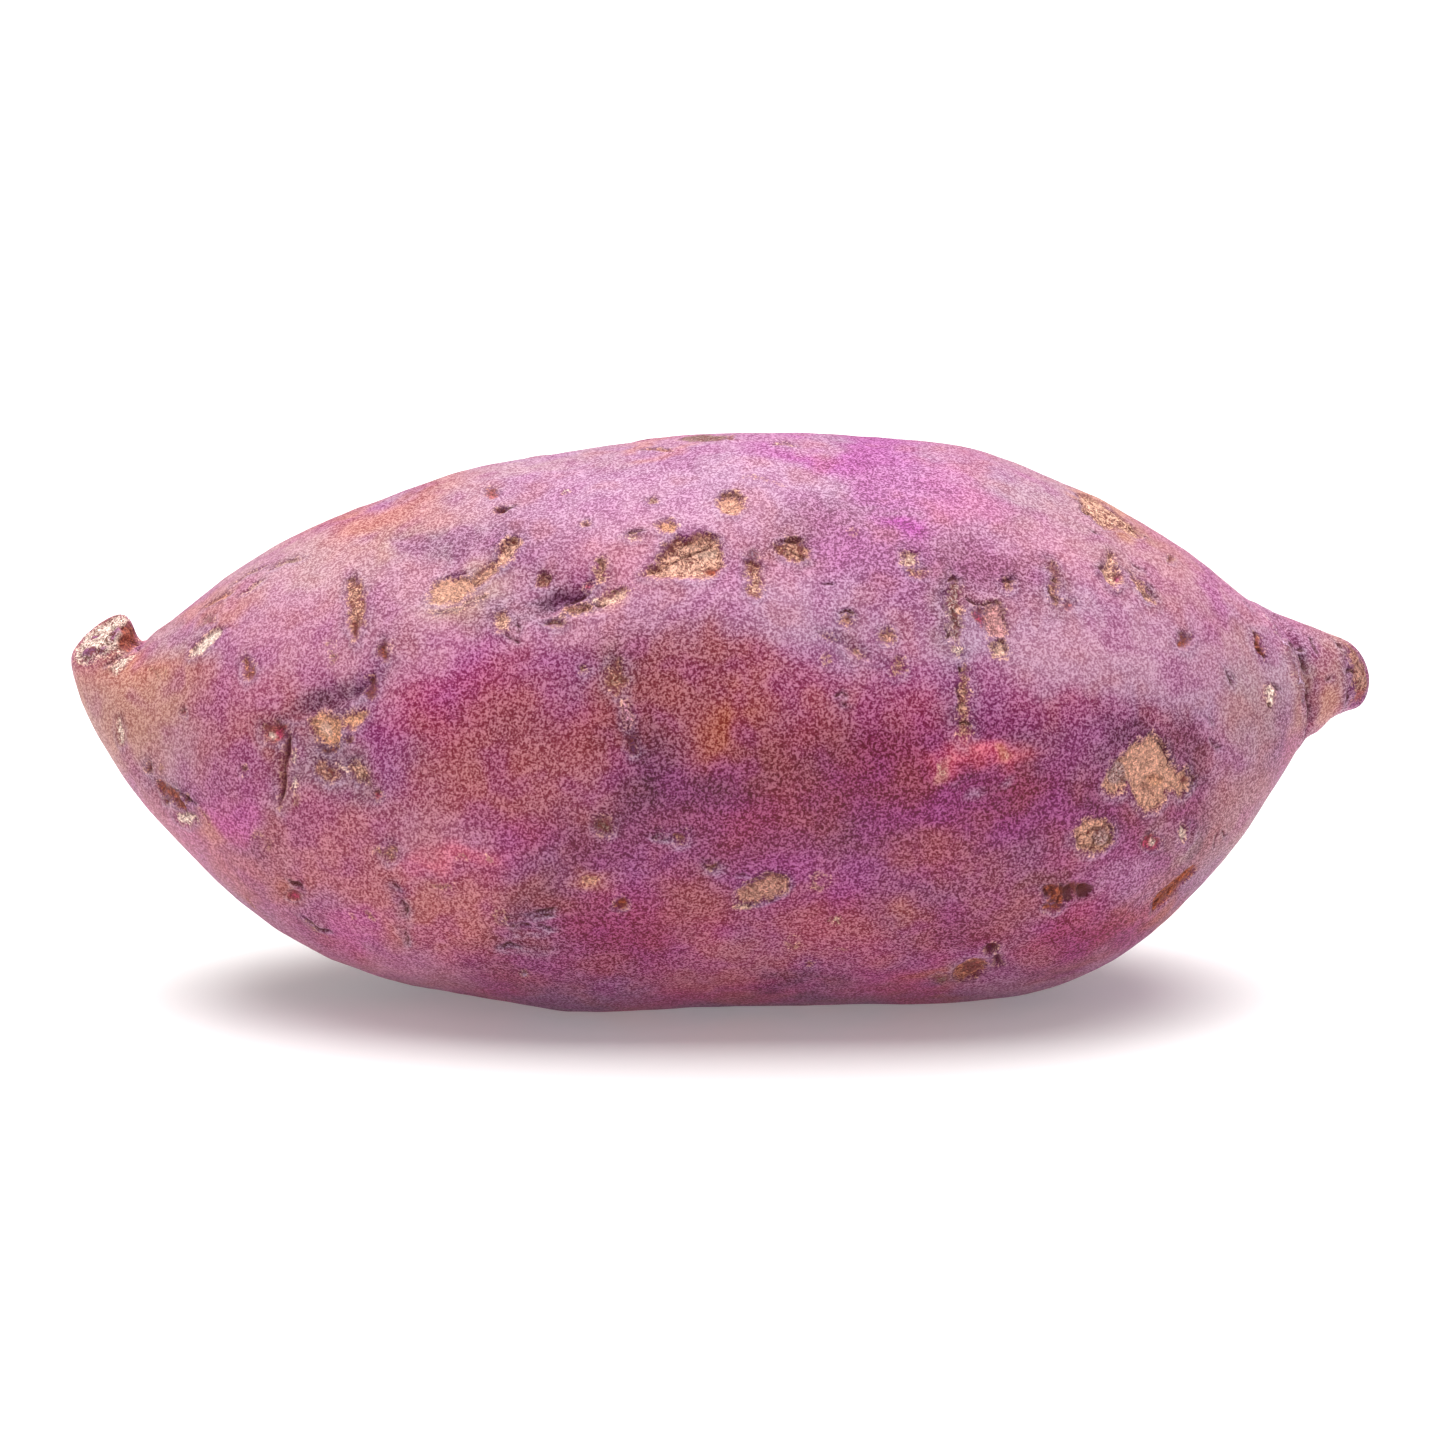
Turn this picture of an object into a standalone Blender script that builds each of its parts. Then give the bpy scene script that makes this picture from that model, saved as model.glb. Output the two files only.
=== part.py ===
"""Sweet potato: one whole storage root with purple skin, lying on its side.

The root grew as one piece, so it is one solid: a single loft of oval sections
from the broken end of its stalk, which curls up at the left, through the body
to the tip of its tail. +X runs along the root from the stalk end to the tail, the
front faces -Y, +Z is up, and the origin lies under the middle of the root on the
surface that it rests on. Sizes here are in millimetres, and the mesh is in metres.
"""

import math
import random

import bmesh
import bpy
import numpy as np
from mathutils import Matrix, Vector, noise

MM = 0.001

# Fineness of the loft: points round each section, bands from pole to pole, and
# steps that the curve between two neighbouring sections is worked out in.
AROUND = 80
BANDS = 66
STEPS_BETWEEN = 24

# The oval sections, from the broken end of the stalk to the tail. Each spans from a
# point of the upper outline to a point of the lower outline, both seen from the
# front: (upper x, upper z), (lower x, lower z), half depth, distance back.
SECTIONS = [
    ((-81.0, 48.7), (-81.0, 48.7), 0.0, 0.2),
    ((-77.7, 50.8), (-84.1, 46.8), 3.8, 0.2),
    ((-77.0, 50.8), (-84.8, 46.3), 4.2, 0.2),
    ((-76.6, 49.9), (-84.9, 44.9), 4.3, 0.2),
    ((-75.7, 47.2), (-84.3, 42.2), 4.8, 0.2),
    ((-75.1, 47.3), (-83.3, 38.9), 6.2, 0.2),
    ((-74.5, 47.9), (-81.8, 35.5), 7.8, 0.1),
    ((-73.6, 48.8), (-79.7, 31.8), 9.6, 0.1),
    ((-72.2, 49.8), (-76.4, 27.0), 12.0, 0.0),
    ((-69.6, 51.9), (-71.9, 21.7), 15.2, 0.0),
    ((-63.0, 56.9), (-63.4, 13.6), 21.3, 0.0),
    ((-47.3, 64.8), (-47.3, 4.0), 29.2, 0.0),
    ((-31.6, 69.9), (-31.6, 0.4), 33.4, 0.0),
    ((-15.9, 72.3), (-15.9, -1.8), 35.6, 0.0),
    ((-0.2, 74.5), (-0.2, -0.8), 36.2, 0.0),
    ((15.5, 74.3), (15.5, -0.2), 36.0, 0.0),
    ((31.2, 72.5), (31.2, 0.1), 34.8, 0.0),
    ((46.9, 66.8), (46.9, 2.7), 30.6, 0.0),
    ((62.6, 57.5), (62.6, 14.9), 20.6, 0.3),
    ((67.9, 53.7), (68.5, 22.6), 15.0, 0.6),
    ((69.4, 52.8), (72.6, 28.9), 12.0, 0.9),
    ((70.9, 52.1), (75.5, 33.5), 9.2, 1.1),
    ((71.7, 51.5), (76.2, 34.7), 8.2, 1.2),
    ((73.5, 50.8), (77.2, 34.5), 7.8, 1.3),
    ((75.7, 49.9), (78.4, 35.3), 7.1, 1.4),
    ((79.9, 48.2), (80.9, 37.5), 5.3, 1.7),
    ((82.0, 47.3), (82.8, 37.7), 4.5, 1.9),
    ((84.1, 45.1), (84.3, 38.8), 3.0, 2.0),
    ((85.1, 41.8), (85.1, 41.8), 0.0, 2.1),
]

# The broken end of the stalk leans towards the front: rise per distance back, and
# how far along the loft from the broken end the leaning dies out.
BROKEN_END_LEAN = 0.22
LEAN_REACH = 6.0

# Level on the scale above that the root is pressed flat at, where it lies.
FOOT_LEVEL = 0.4

# Gentle lumps of the whole body: (width of a lump, height).
LUMPS = [(34.0, 0.55), (13.0, 0.22)]

# Hollows of the front: where along the root, how far up round it from the front
# in degrees, half length, half width, turn in degrees, depth. A hollow fades out
# at HOLLOW_REACH times its half length or half width.
HOLLOW_REACH = 2.5
HOLLOWS = [
    (-4.9, 47, 5.5, 3.0, 12, 1.2),
    (-17.9, 40, 7.0, 3.0, 20, 1.7),
    (-31.6, 48, 8.5, 3.2, 30, 0.8),
    (-51.2, 13, 5.5, 6.0, 0, 1.2),
    (31.0, 26, 2.4, 8.0, 0, 0.6),
    (16.4, 29, 4.6, 2.4, -25, 0.9),
    (9.4, 50, 2.6, 2.2, 0, 1.0),
    (1.4, 63, 2.6, 2.4, 0, 0.9),
    (55.9, 3, 6.5, 6.0, 0, 0.6),
    (45.2, -26, 3.8, 2.2, 0, 1.2),
    (58.4, -46, 5.0, 2.2, 50, 1.0),
    (33.6, -49, 3.0, 2.2, 0, 0.8),
    (-72.2, -26, 3.0, 3.0, 0, 0.9),
]

# Hollows of the top, the back and the underside, drawn at random from these ranges.
MORE_HOLLOWS = 14
MORE_HOLLOWS_SEED = 11
MORE_HOLLOWS_ALONG = (-60, 56)
MORE_HOLLOWS_UP = (128, 258)
MORE_HOLLOWS_LENGTH = (4.0, 8.0)
MORE_HOLLOWS_WIDTH = (3.0, 4.5)
MORE_HOLLOWS_TURN = (-90, 90)
MORE_HOLLOWS_DEPTH = (0.5, 1.2)

SKIN_COLOUR = (0.36, 0.12, 0.25, 1.0)
SKIN_ROUGHNESS = 0.6


def clear_scene():
    for obj in list(bpy.data.objects):
        bpy.data.objects.remove(obj, do_unlink=True)


def section_rows():
    """SECTIONS as rows of six numbers, with one row past each pole.

    Past a pole the upper and lower outlines change places, so the curve through
    the rows runs round the pole instead of ending in a point.
    """
    rows = [(*upper, *lower, depth, back) for upper, lower, depth, back in SECTIONS]

    def turned_over(row):
        return (*row[2:4], *row[0:2], -row[4], row[5])

    return np.array([turned_over(rows[1]), *rows, turned_over(rows[-2])], float)


def smooth_rows():
    """A smooth curve through the section rows, as many closely spaced rows."""
    rows = section_rows()
    gaps = np.linalg.norm(np.diff(rows[:, :4], axis=0), axis=1)
    knots = np.concatenate([[0.0], np.cumsum(gaps)])
    rates = np.diff(rows, axis=0) / gaps[:, None]
    weight = (gaps[1:] / (gaps[1:] + gaps[:-1]))[:, None]
    tangents = weight * rates[:-1] + (1 - weight) * rates[1:]
    curve = []
    for i in range(1, len(rows) - 2):
        width = knots[i + 1] - knots[i]
        for t in np.arange(STEPS_BETWEEN) / STEPS_BETWEEN:
            curve.append(
                (1 + 2 * t) * (1 - t) ** 2 * rows[i]
                + t * (1 - t) ** 2 * width * tangents[i - 1]
                + t * t * (3 - 2 * t) * rows[i + 1]
                + t * t * (t - 1) * width * tangents[i]
            )
    curve.append(rows[-2])
    return np.array(curve)


def banded_rows():
    """The rows at the edges of the bands, which lie closer where the root is thin."""
    curve = smooth_rows()
    step = np.linalg.norm(np.diff(curve[:, :4], axis=0), axis=1)
    height = np.linalg.norm(curve[:, 0:2] - curve[:, 2:4], axis=1)
    mean_height = (height[1:] + height[:-1]) / 2
    place = np.concatenate([[0.0], np.cumsum(step / np.sqrt(1 + mean_height))])
    wanted = np.linspace(0.0, place[-1], BANDS + 1)
    return np.stack([np.interp(wanted, place, column) for column in curve.T], axis=1)


def oval_point(row, angle):
    """The point of one section at an angle up from the front, in millimetres."""
    upper = Vector((row[0], row[5], row[1]))
    lower = Vector((row[2], row[5], row[3]))
    middle = (upper + lower) / 2
    half_height = (upper - lower) / 2
    return middle + half_height * math.sin(angle) + Vector((0, -row[4] * math.cos(angle), 0))


def body_mesh():
    """A sphere whose rings are carried to the oval sections."""
    rows = banded_rows()
    middles = (rows[:, 0:2] + rows[:, 2:4]) / 2
    from_broken_end = np.linalg.norm(middles - middles[0], axis=1)
    leans = BROKEN_END_LEAN * np.clip(1 - from_broken_end / LEAN_REACH, 0, 1)
    bm = bmesh.new()
    bmesh.ops.create_uvsphere(bm, u_segments=AROUND, v_segments=BANDS, radius=1.0)
    for vert in bm.verts:
        band = round(math.acos(max(-1.0, min(1.0, -vert.co.z))) / math.pi * BANDS)
        angle = math.atan2(vert.co.y, vert.co.x)
        vert.co = oval_point(rows[band], angle)
        vert.co.z += leans[band] * (vert.co.y - rows[band, 5])
    bmesh.ops.recalc_face_normals(bm, faces=bm.faces)
    return bm


def raise_lumps(bm):
    bm.normal_update()
    for vert in bm.verts:
        height = sum(h * noise.noise(vert.co / width) for width, h in LUMPS)
        vert.co += vert.normal * height


def anchor_of(bm, along, up_degrees):
    """The vertex nearest to a place given along and round the root."""
    rows = smooth_rows()
    middles = (rows[:, 0] + rows[:, 2]) / 2
    row = rows[np.argmin(np.abs(middles - along))]
    target = oval_point(row, math.radians(up_degrees))
    return min(bm.verts, key=lambda vert: (vert.co - target).length)


def press_hollow(bm, along, up_degrees, half_length, half_width, turn, depth):
    """Presses one soft hollow into the surface."""
    anchor = anchor_of(bm, along, up_degrees)
    centre = anchor.co.copy()
    inward = -anchor.normal
    lengthwise = Vector((1, 0, 0)).cross(inward).cross(inward).normalized()
    lengthwise.rotate(Matrix.Rotation(math.radians(turn), 3, inward))
    widthwise = inward.cross(lengthwise)
    reach = HOLLOW_REACH * max(half_length, half_width)
    for vert in bm.verts:
        offset = vert.co - centre
        if offset.length < reach:
            u = offset.dot(lengthwise) / half_length
            v = offset.dot(widthwise) / half_width
            vert.co += inward * depth * math.exp(-(u * u + v * v))


def unseen_hollows():
    """Shallow hollows all round the rest of the root."""
    draw = random.Random(MORE_HOLLOWS_SEED)
    for _ in range(MORE_HOLLOWS):
        yield (
            draw.uniform(*MORE_HOLLOWS_ALONG),
            draw.uniform(*MORE_HOLLOWS_UP),
            draw.uniform(*MORE_HOLLOWS_LENGTH),
            draw.uniform(*MORE_HOLLOWS_WIDTH),
            draw.uniform(*MORE_HOLLOWS_TURN),
            draw.uniform(*MORE_HOLLOWS_DEPTH),
        )


def flatten_foot(bm):
    """What lies below the foot's level is pressed up to it, which leaves a flat spot."""
    for vert in bm.verts:
        vert.co.z = max(vert.co.z, FOOT_LEVEL)


def mesh_object(name, bm, collection):
    """A new object from a bmesh in millimetres."""
    bmesh.ops.scale(bm, vec=(MM, MM, MM), verts=bm.verts)
    mesh = bpy.data.meshes.new(name)
    bm.to_mesh(mesh)
    bm.free()
    obj = bpy.data.objects.new(name, mesh)
    collection.objects.link(obj)
    return obj


def new_collection(name):
    collection = bpy.data.collections.new(name)
    bpy.context.scene.collection.children.link(collection)
    return collection


def skin_material():
    material = bpy.data.materials.new("skin")
    material.use_nodes = True
    shader = material.node_tree.nodes["Principled BSDF"]
    shader.inputs["Base Color"].default_value = SKIN_COLOUR
    shader.inputs["Roughness"].default_value = SKIN_ROUGHNESS
    shader.inputs["Metallic"].default_value = 0.0
    return material


def centre_over_origin(obj):
    """Moves the mesh so that the middle of its length and depth is over the origin."""
    places = np.array([vert.co for vert in obj.data.vertices])
    middle = (places.min(axis=0) + places.max(axis=0)) / 2
    obj.data.transform(Matrix.Translation((-middle[0], -middle[1], -places[:, 2].min())))


def build():
    clear_scene()
    parts = new_collection("sweet_potato_parts")
    bm = body_mesh()
    raise_lumps(bm)
    for hollow in [*HOLLOWS, *unseen_hollows()]:
        bm.normal_update()
        press_hollow(bm, *hollow)
    flatten_foot(bm)
    root = mesh_object("sweet_potato", bm, parts)
    centre_over_origin(root)
    root.data.shade_smooth()
    root.data.materials.clear()
    root.data.materials.append(skin_material())


build()
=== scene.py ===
import math
import random
from collections import namedtuple

import bmesh
import bpy
import numpy as np
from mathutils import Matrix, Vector, noise
from mathutils.bvhtree import BVHTree


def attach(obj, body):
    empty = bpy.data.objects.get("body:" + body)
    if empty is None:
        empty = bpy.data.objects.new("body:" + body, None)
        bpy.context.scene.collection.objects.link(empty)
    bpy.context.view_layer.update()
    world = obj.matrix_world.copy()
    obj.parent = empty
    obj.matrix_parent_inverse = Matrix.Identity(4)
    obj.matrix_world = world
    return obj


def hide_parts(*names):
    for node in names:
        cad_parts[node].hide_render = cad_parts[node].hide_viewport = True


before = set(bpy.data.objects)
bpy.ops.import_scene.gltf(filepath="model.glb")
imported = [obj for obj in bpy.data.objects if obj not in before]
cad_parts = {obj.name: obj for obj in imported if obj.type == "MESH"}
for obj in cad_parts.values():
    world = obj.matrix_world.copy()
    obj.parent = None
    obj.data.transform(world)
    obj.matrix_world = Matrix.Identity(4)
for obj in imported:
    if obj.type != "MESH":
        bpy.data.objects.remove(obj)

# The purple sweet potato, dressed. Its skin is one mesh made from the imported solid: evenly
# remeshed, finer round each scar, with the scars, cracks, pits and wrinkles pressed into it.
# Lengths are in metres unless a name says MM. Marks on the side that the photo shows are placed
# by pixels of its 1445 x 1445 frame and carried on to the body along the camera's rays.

NODE = "sweet_potato"
MM = 0.001

# Camera of the photo
PHOTO_SIZE = 1445
CAMERA_LIFT = math.radians(14)
CAMERA_REACH = 0.525
CAMERA_AIM = Vector((0.0, 0.0, 0.0362))
LENS_MM = 100.0
SENSOR_MM = 36.0
CAMERA_NEAR = 0.01
BODY_MIDDLE = Vector((722.0, 722.0))

# The side that the photo shows fades out over cosines this far to both sides of its outline
OUTLINE_FADE = 0.15

# Mesh of the skin: its faces are split once inside the marks and once more along their edges,
# but not for marks with walls softer than the last of these
ROUNDING_LEVELS = 2
MERGE_GAP = 0.001 * MM
EVEN_FACE = 1.14 * MM
MARK_MARGIN_MM = 0.6
EDGE_MARGIN_MM = 0.32
SOFT_WALL_MM = 1.15

# Noise vectors differ from run to run unless the noise has a seed, which can't be 0
NOISE_SEED = 7

# Outlines of marks wander: size of the swell in millimetres and its share of the mark's ragged,
# and the farthest that the two take an outline
WANDERS = ((1.3, 1.0), (0.5, 0.4))
WANDER_MM = 0.5

# A mark reaches its farthest corner times this, on skin that faces it by at least this cosine,
# and its upper and lower sides are told apart by a step this long
MARK_REACH = 1.5
MARK_COSINE = 0.1
SIDE_STEP_MM = 0.25

# Relief of the plain skin: size of the swell and its height, in millimetres
SWELLS_MM = ((13.0, 0.30), (5.0, 0.13), (2.4, 0.06))


def colour(red, green, blue):
    """A linear colour from one as a screen shows it, 0 to 255."""
    def linear(level):
        level /= 255
        return level / 12.92 if level <= 0.04045 else ((level + 0.055) / 1.055) ** 2.4
    return np.array((linear(red), linear(green), linear(blue)))


# Colours of the skin
# ROSE, PINK, MAUVE and LILAC, where they are washed over the top, partly paint the haze of the overhead
# lamp's sheen as paler, greyer colour; PINK is also the painted light on the lip under a mark.
ROSE = colour(184, 127, 148)
PINK = colour(167, 135, 160)
MAUVE = colour(168, 116, 147)
LILAC = colour(178, 144, 170)
DUST = colour(172, 138, 134)
HEATHER = colour(138, 80, 118)
SLATE = colour(122, 98, 112)
MAGENTA = colour(160, 56, 102)
FUCHSIA = colour(174, 66, 132)
VIOLET = colour(142, 56, 122)
PURPLE = colour(152, 26, 130)
CRIMSON = colour(170, 56, 88)
CORAL = colour(216, 96, 116)
PLUM = colour(118, 40, 74)
WINE = colour(124, 16, 66)
AUBERGINE = colour(88, 26, 56)
DUSK = colour(80, 32, 64)
TERRA = colour(164, 88, 88)
RUSSET = colour(150, 72, 70)
RUST = colour(156, 76, 46)
CLAY = colour(182, 114, 90)
SALMON = colour(206, 148, 124)
BLUSH = colour(192, 134, 134)
AMBER = colour(188, 122, 74)
UMBER = colour(120, 58, 54)
OLIVE = colour(132, 100, 92)
MULBERRY = colour(138, 46, 112)

# Colours of bare cork, cuts and cracks
OCHRE = colour(208, 150, 118)
TAN = colour(208, 158, 136)
BUFF = colour(220, 174, 154)
FAWN = colour(194, 142, 120)
SAND = colour(194, 156, 138)
CREAM = colour(226, 198, 184)
CORK = colour(174, 124, 108)
BARK = colour(106, 42, 34)
BRICK = colour(160, 84, 64)
INK = colour(78, 20, 20)


def camera_axes():
    """Unit vectors to the camera's right, up and back, away from what it looks at."""
    back = Vector((0.0, -math.cos(CAMERA_LIFT), math.sin(CAMERA_LIFT)))
    right = Vector((1.0, 0.0, 0.0))
    return right, back.cross(right), back


def camera_place():
    return CAMERA_AIM + camera_axes()[2] * CAMERA_REACH


def pixel_ray(x, y):
    """Direction from the camera through a pixel of the photo."""
    right, up, back = camera_axes()
    scale = SENSOR_MM / LENS_MM / PHOTO_SIZE
    half = PHOTO_SIZE / 2
    return (right * ((x - half) * scale) + up * ((half - y) * scale) - back).normalized()


def pixels_of(points):
    """Where points of the body, in metres, show in the photo."""
    right, up, back = (np.array(axis) for axis in camera_axes())
    offset = points - np.array(camera_place())
    depth = -(offset @ back)
    scale = LENS_MM / SENSOR_MM * PHOTO_SIZE
    half = PHOTO_SIZE / 2
    return np.stack([half + offset @ right / depth * scale, half - offset @ up / depth * scale], axis=1)


def facing(points, normals):
    """1 where the photo shows the skin, falling to 0 just past its outline."""
    to_camera = np.array(camera_place()) - points
    to_camera /= np.linalg.norm(to_camera, axis=1)[:, None]
    return smooth_step((np.sum(normals * to_camera, axis=1) + OUTLINE_FADE) / (2 * OUTLINE_FADE))


def smooth_step(share):
    share = np.clip(share, 0, 1)
    return share * share * (3 - 2 * share)


def waves(points, size, seed=0.0):
    """Smooth noise from about -1 to 1 at each point, with swells of the given size."""
    shift = np.array((seed * 3.7, seed * 1.3 + 5.2, -seed * 2.1))
    return np.array([noise.noise(place) for place in (points / size + shift).tolist()])


def drifts(points, size, seed=0.0):
    """Smooth noise vectors at each point."""
    shift = np.array((seed * 2.9, 7.7 - seed * 1.7, seed * 0.9))
    return np.array([noise.noise_vector(place) for place in (points / size + shift).tolist()])


# The mesh

def rounded_body():
    """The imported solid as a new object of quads, with a modifier that rounds it."""
    packed = bmesh.new()
    packed.from_mesh(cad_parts[NODE].data)
    bmesh.ops.remove_doubles(packed, verts=packed.verts, dist=MERGE_GAP)
    bmesh.ops.join_triangles(
        packed, faces=packed.faces, angle_face_threshold=math.pi, angle_shape_threshold=math.pi)
    mesh = bpy.data.meshes.new("skin")
    packed.to_mesh(mesh)
    packed.free()
    mesh.materials.clear()
    body = bpy.data.objects.new("sweet_potato_skin", mesh)
    bpy.context.scene.collection.objects.link(body)
    rounding = body.modifiers.new("rounding", "SUBSURF")
    rounding.levels = rounding.render_levels = ROUNDING_LEVELS
    return body


def apply_modifiers(body):
    """Puts the mesh that the modifiers make in place of the body's own."""
    bpy.context.view_layer.update()
    graph = bpy.context.evaluated_depsgraph_get()
    mesh = bpy.data.meshes.new_from_object(body.evaluated_get(graph))
    body.modifiers.clear()
    old = body.data
    body.data = mesh
    bpy.data.meshes.remove(old)


def surface_of(body):
    """The rounded body as a tree that answers rays and nearest points."""
    bpy.context.view_layer.update()
    return BVHTree.FromObject(body, bpy.context.evaluated_depsgraph_get())


def even_out(body):
    """Gives the whole skin faces of one size."""
    even = body.modifiers.new("even", "REMESH")
    even.mode = "VOXEL"
    even.voxel_size = EVEN_FACE
    apply_modifiers(body)


def mesh_points(mesh):
    points = np.empty(len(mesh.vertices) * 3, np.float32)
    mesh.vertices.foreach_get("co", points)
    return points.reshape(-1, 3).astype(float)


def mesh_normals(mesh):
    normals = np.empty(len(mesh.vertices) * 3, np.float32)
    mesh.vertex_normals.foreach_get("vector", normals)
    return normals.reshape(-1, 3).astype(float)


def set_points(mesh, points):
    mesh.vertices.foreach_set("co", points.astype(np.float32).ravel())
    mesh.update()


def lay_on(surface, mesh):
    """Moves every point of the mesh to the nearest place on the rounded body."""
    laid = [surface.find_nearest(place)[0] for place in mesh_points(mesh).tolist()]
    set_points(mesh, np.array(laid))


def split_faces(mesh, chosen):
    """Splits in four each face that has a chosen point."""
    fine = bmesh.new()
    fine.from_mesh(mesh)
    fine.verts.ensure_lookup_table()
    edges = {
        edge
        for index in np.flatnonzero(chosen)
        for face in fine.verts[index].link_faces
        for edge in face.edges
    }
    bmesh.ops.subdivide_edges(fine, edges=list(edges), cuts=1, use_grid_fill=True)
    bmesh.ops.triangulate(fine, faces=[face for face in fine.faces if len(face.verts) > 4])
    fine.to_mesh(mesh)
    fine.free()


def refine(mesh):
    """Splits the faces inside the marks, then those along their edges."""
    for at_edge in (False, True):
        points, normals = mesh_points(mesh), mesh_normals(mesh)
        chosen = np.zeros(len(points), bool)
        for mark in marks:
            index = near_mark(mark, points, normals, MARK_MARGIN_MM + WANDER_MM)
            if not len(index) or mark.kind.wall > SOFT_WALL_MM:
                continue
            gap = gap_of(mark, spots_on(mark, points[index]))
            chosen[index] |= np.abs(gap) < EDGE_MARGIN_MM if at_edge else gap < MARK_MARGIN_MM
        split_faces(mesh, chosen)
        lay_on(surface, mesh)


# Marks

# What a mark does to the skin. tone is the colour of what it lays bare, or None. Lengths are
# in millimetres: sink is its depth, below zero for a raised one, and lean the share by which
# it is deeper under its upper edge, which also sets the painted shade on what it lays bare
# there; wall is the width of its side, rim the height of the skin's lip round it, rough the
# height of the grain inside it, ragged how far its outline wanders, edge the half width of a
# dark line along its outline, wider by its upper edge as painted shade, halo how far the skin
# round it is darkened to purple, more over its upper edge as painted shade, with a paler lip
# under its lower edge as painted light, and broken how far skin is left in grains inside its
# outline. crackle is the share of dark cracks in what it lays bare.
Kind = namedtuple("Kind", "tone sink lean wall rim rough ragged edge halo broken crackle")
SCAB = Kind(TAN, 0.28, 0.3, 0.45, 0.10, 0.12, 0.40, 0.04, 1.1, 0.0, 0.30)
FLECK = Kind(SAND, 0.16, 0.3, 0.40, 0.06, 0.12, 0.35, 0.02, 0.8, 0.15, 0.40)
CRUST = Kind(CORK, 0.22, 0.3, 0.50, 0.08, 0.30, 0.55, 0.04, 1.0, 0.15, 0.80)
HOLLOW = Kind(TAN, 0.80, 0.4, 0.90, 0.15, 0.22, 0.40, 0.03, 1.0, 0.0, 0.45)
PIT = Kind(BARK, 0.90, 0.3, 0.60, 0.10, 0.12, 0.30, 0.0, 0.7, 0.0, 0.80)
REDDISH = Kind(BRICK, 0.18, 0.4, 0.50, 0.06, 0.18, 0.40, 0.03, 0.5, 0.15, 0.50)
FLAKE = Kind(CREAM, -0.16, 0.0, 0.25, 0.0, 0.12, 0.30, 0.06, 0.2, 0.0, 0.15)
BREAK = Kind(CREAM, 0.15, 0.0, 0.40, 0.10, 0.45, 0.30, 0.05, 0.0, 0.0, 0.50)
STAIN = Kind(SLATE, 0.0, 0.0, 1.00, 0.0, 0.12, 0.60, 0.0, 0.6, 0.40, 0.50)
TINGE = FLECK._replace(sink=0.0, rim=0.0, edge=0.0, halo=0.0, crackle=0.1)
# DENT and CREASE lay nothing bare, so the darkening of their halo is all painted shade round the dip, with
# painted light on its lower lip.
DENT = Kind(None, 0.50, 0.0, 1.60, 0.0, 0.0, 0.30, 0.0, 0.5, 0.0, 0.0)
LIP = Kind(None, -0.35, 0.0, 1.20, 0.0, 0.0, 0.30, 0.0, 0.0, 0.0, 0.0)
CREASE = Kind(None, 0.55, 0.0, 1.20, 0.10, 0.05, 0.30, 0.0, 1.0, 0.0, 0.0)
CRACK = Kind(INK, 0.35, 0.0, 0.30, 0.09, 0.0, 0.18, 0.0, 0.5, 0.0, 0.0)
SCRATCH = Kind(BARK, 0.08, 0.0, 0.20, 0.03, 0.0, 0.12, 0.0, 0.0, 0.10, 0.0)

Mark = namedtuple("Mark", "kind middle across up corners half")
marks = []


def seen_point(x, y):
    """The place and normal of the body at a pixel, or at the nearest one inwards that shows it."""
    pixel = Vector((x, y))
    while True:
        place, normal, _, _ = surface.ray_cast(camera_place(), pixel_ray(*pixel))
        if place:
            return place, normal
        pixel += (BODY_MIDDLE - pixel).normalized()


def add_mark(kind, places, normals, half=None):
    """Keeps a mark as points in its own plane, in millimetres."""
    middle = sum(places, Vector()) / len(places)
    normal = sum(normals, Vector()).normalized()
    level = Vector((1.0, 0.0, 0.0))
    across = (level - normal * level.dot(normal)).normalized()
    up = normal.cross(across)
    corners = [((place - middle).dot(across) / MM, (place - middle).dot(up) / MM) for place in places]
    marks.append(Mark(kind, np.array(middle), np.array(across), np.array(up), np.array(corners), half))


def patches(kind, *outlines, **changes):
    """Closed patches with outlines through these pixels."""
    for outline in outlines:
        places, normals = zip(*(seen_point(x, y) for x, y in outline))
        add_mark(kind._replace(**changes), places, normals)


def lines(kind, half, *routes, **changes):
    """Lines through these pixels, half as wide as the given millimetres, tapering to their ends."""
    for route in routes:
        places, normals = zip(*(seen_point(x, y) for x, y in route))
        add_mark(kind._replace(**changes), places, normals, half)


def round_pixels(x, y, long, short, turn=0.0, count=14):
    """Pixels round an oval; turn is in degrees, positive with the right end up."""
    swing = math.radians(-turn)
    for step in range(count):
        angle = 2 * math.pi * step / count
        east, south = long * math.cos(angle), short * math.sin(angle)
        yield (x + east * math.cos(swing) - south * math.sin(swing),
               y + east * math.sin(swing) + south * math.cos(swing))


def ovals(kind, *spots, **changes):
    """Ovals, each with its middle, half length and half height in pixels and maybe a turn."""
    for spot in spots:
        patches(kind, tuple(round_pixels(*spot)), **changes)


def rings(kind, half, *spots, **changes):
    """Lines round ovals."""
    for spot in spots:
        pixels = tuple(round_pixels(*spot))
        lines(kind, half, pixels + pixels[:1], **changes)


def outline_distance(spots, corners):
    """Millimetres from each spot to a closed outline, below zero inside it."""
    nearest = np.full(len(spots), np.inf)
    inside = np.zeros(len(spots), bool)
    for start, end in zip(corners, np.roll(corners, -1, axis=0)):
        along = end - start
        share = np.clip((spots - start) @ along / (along @ along), 0, 1)
        nearest = np.minimum(nearest, np.linalg.norm(spots - start - share[:, None] * along, axis=1))
        crosses = (start[1] > spots[:, 1]) != (end[1] > spots[:, 1])
        meets = start[0] + (spots[:, 1] - start[1]) * along[0] / (along[1] or 1e-9)
        inside ^= crosses & (spots[:, 0] < meets)
    return np.where(inside, -nearest, nearest)


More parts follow.
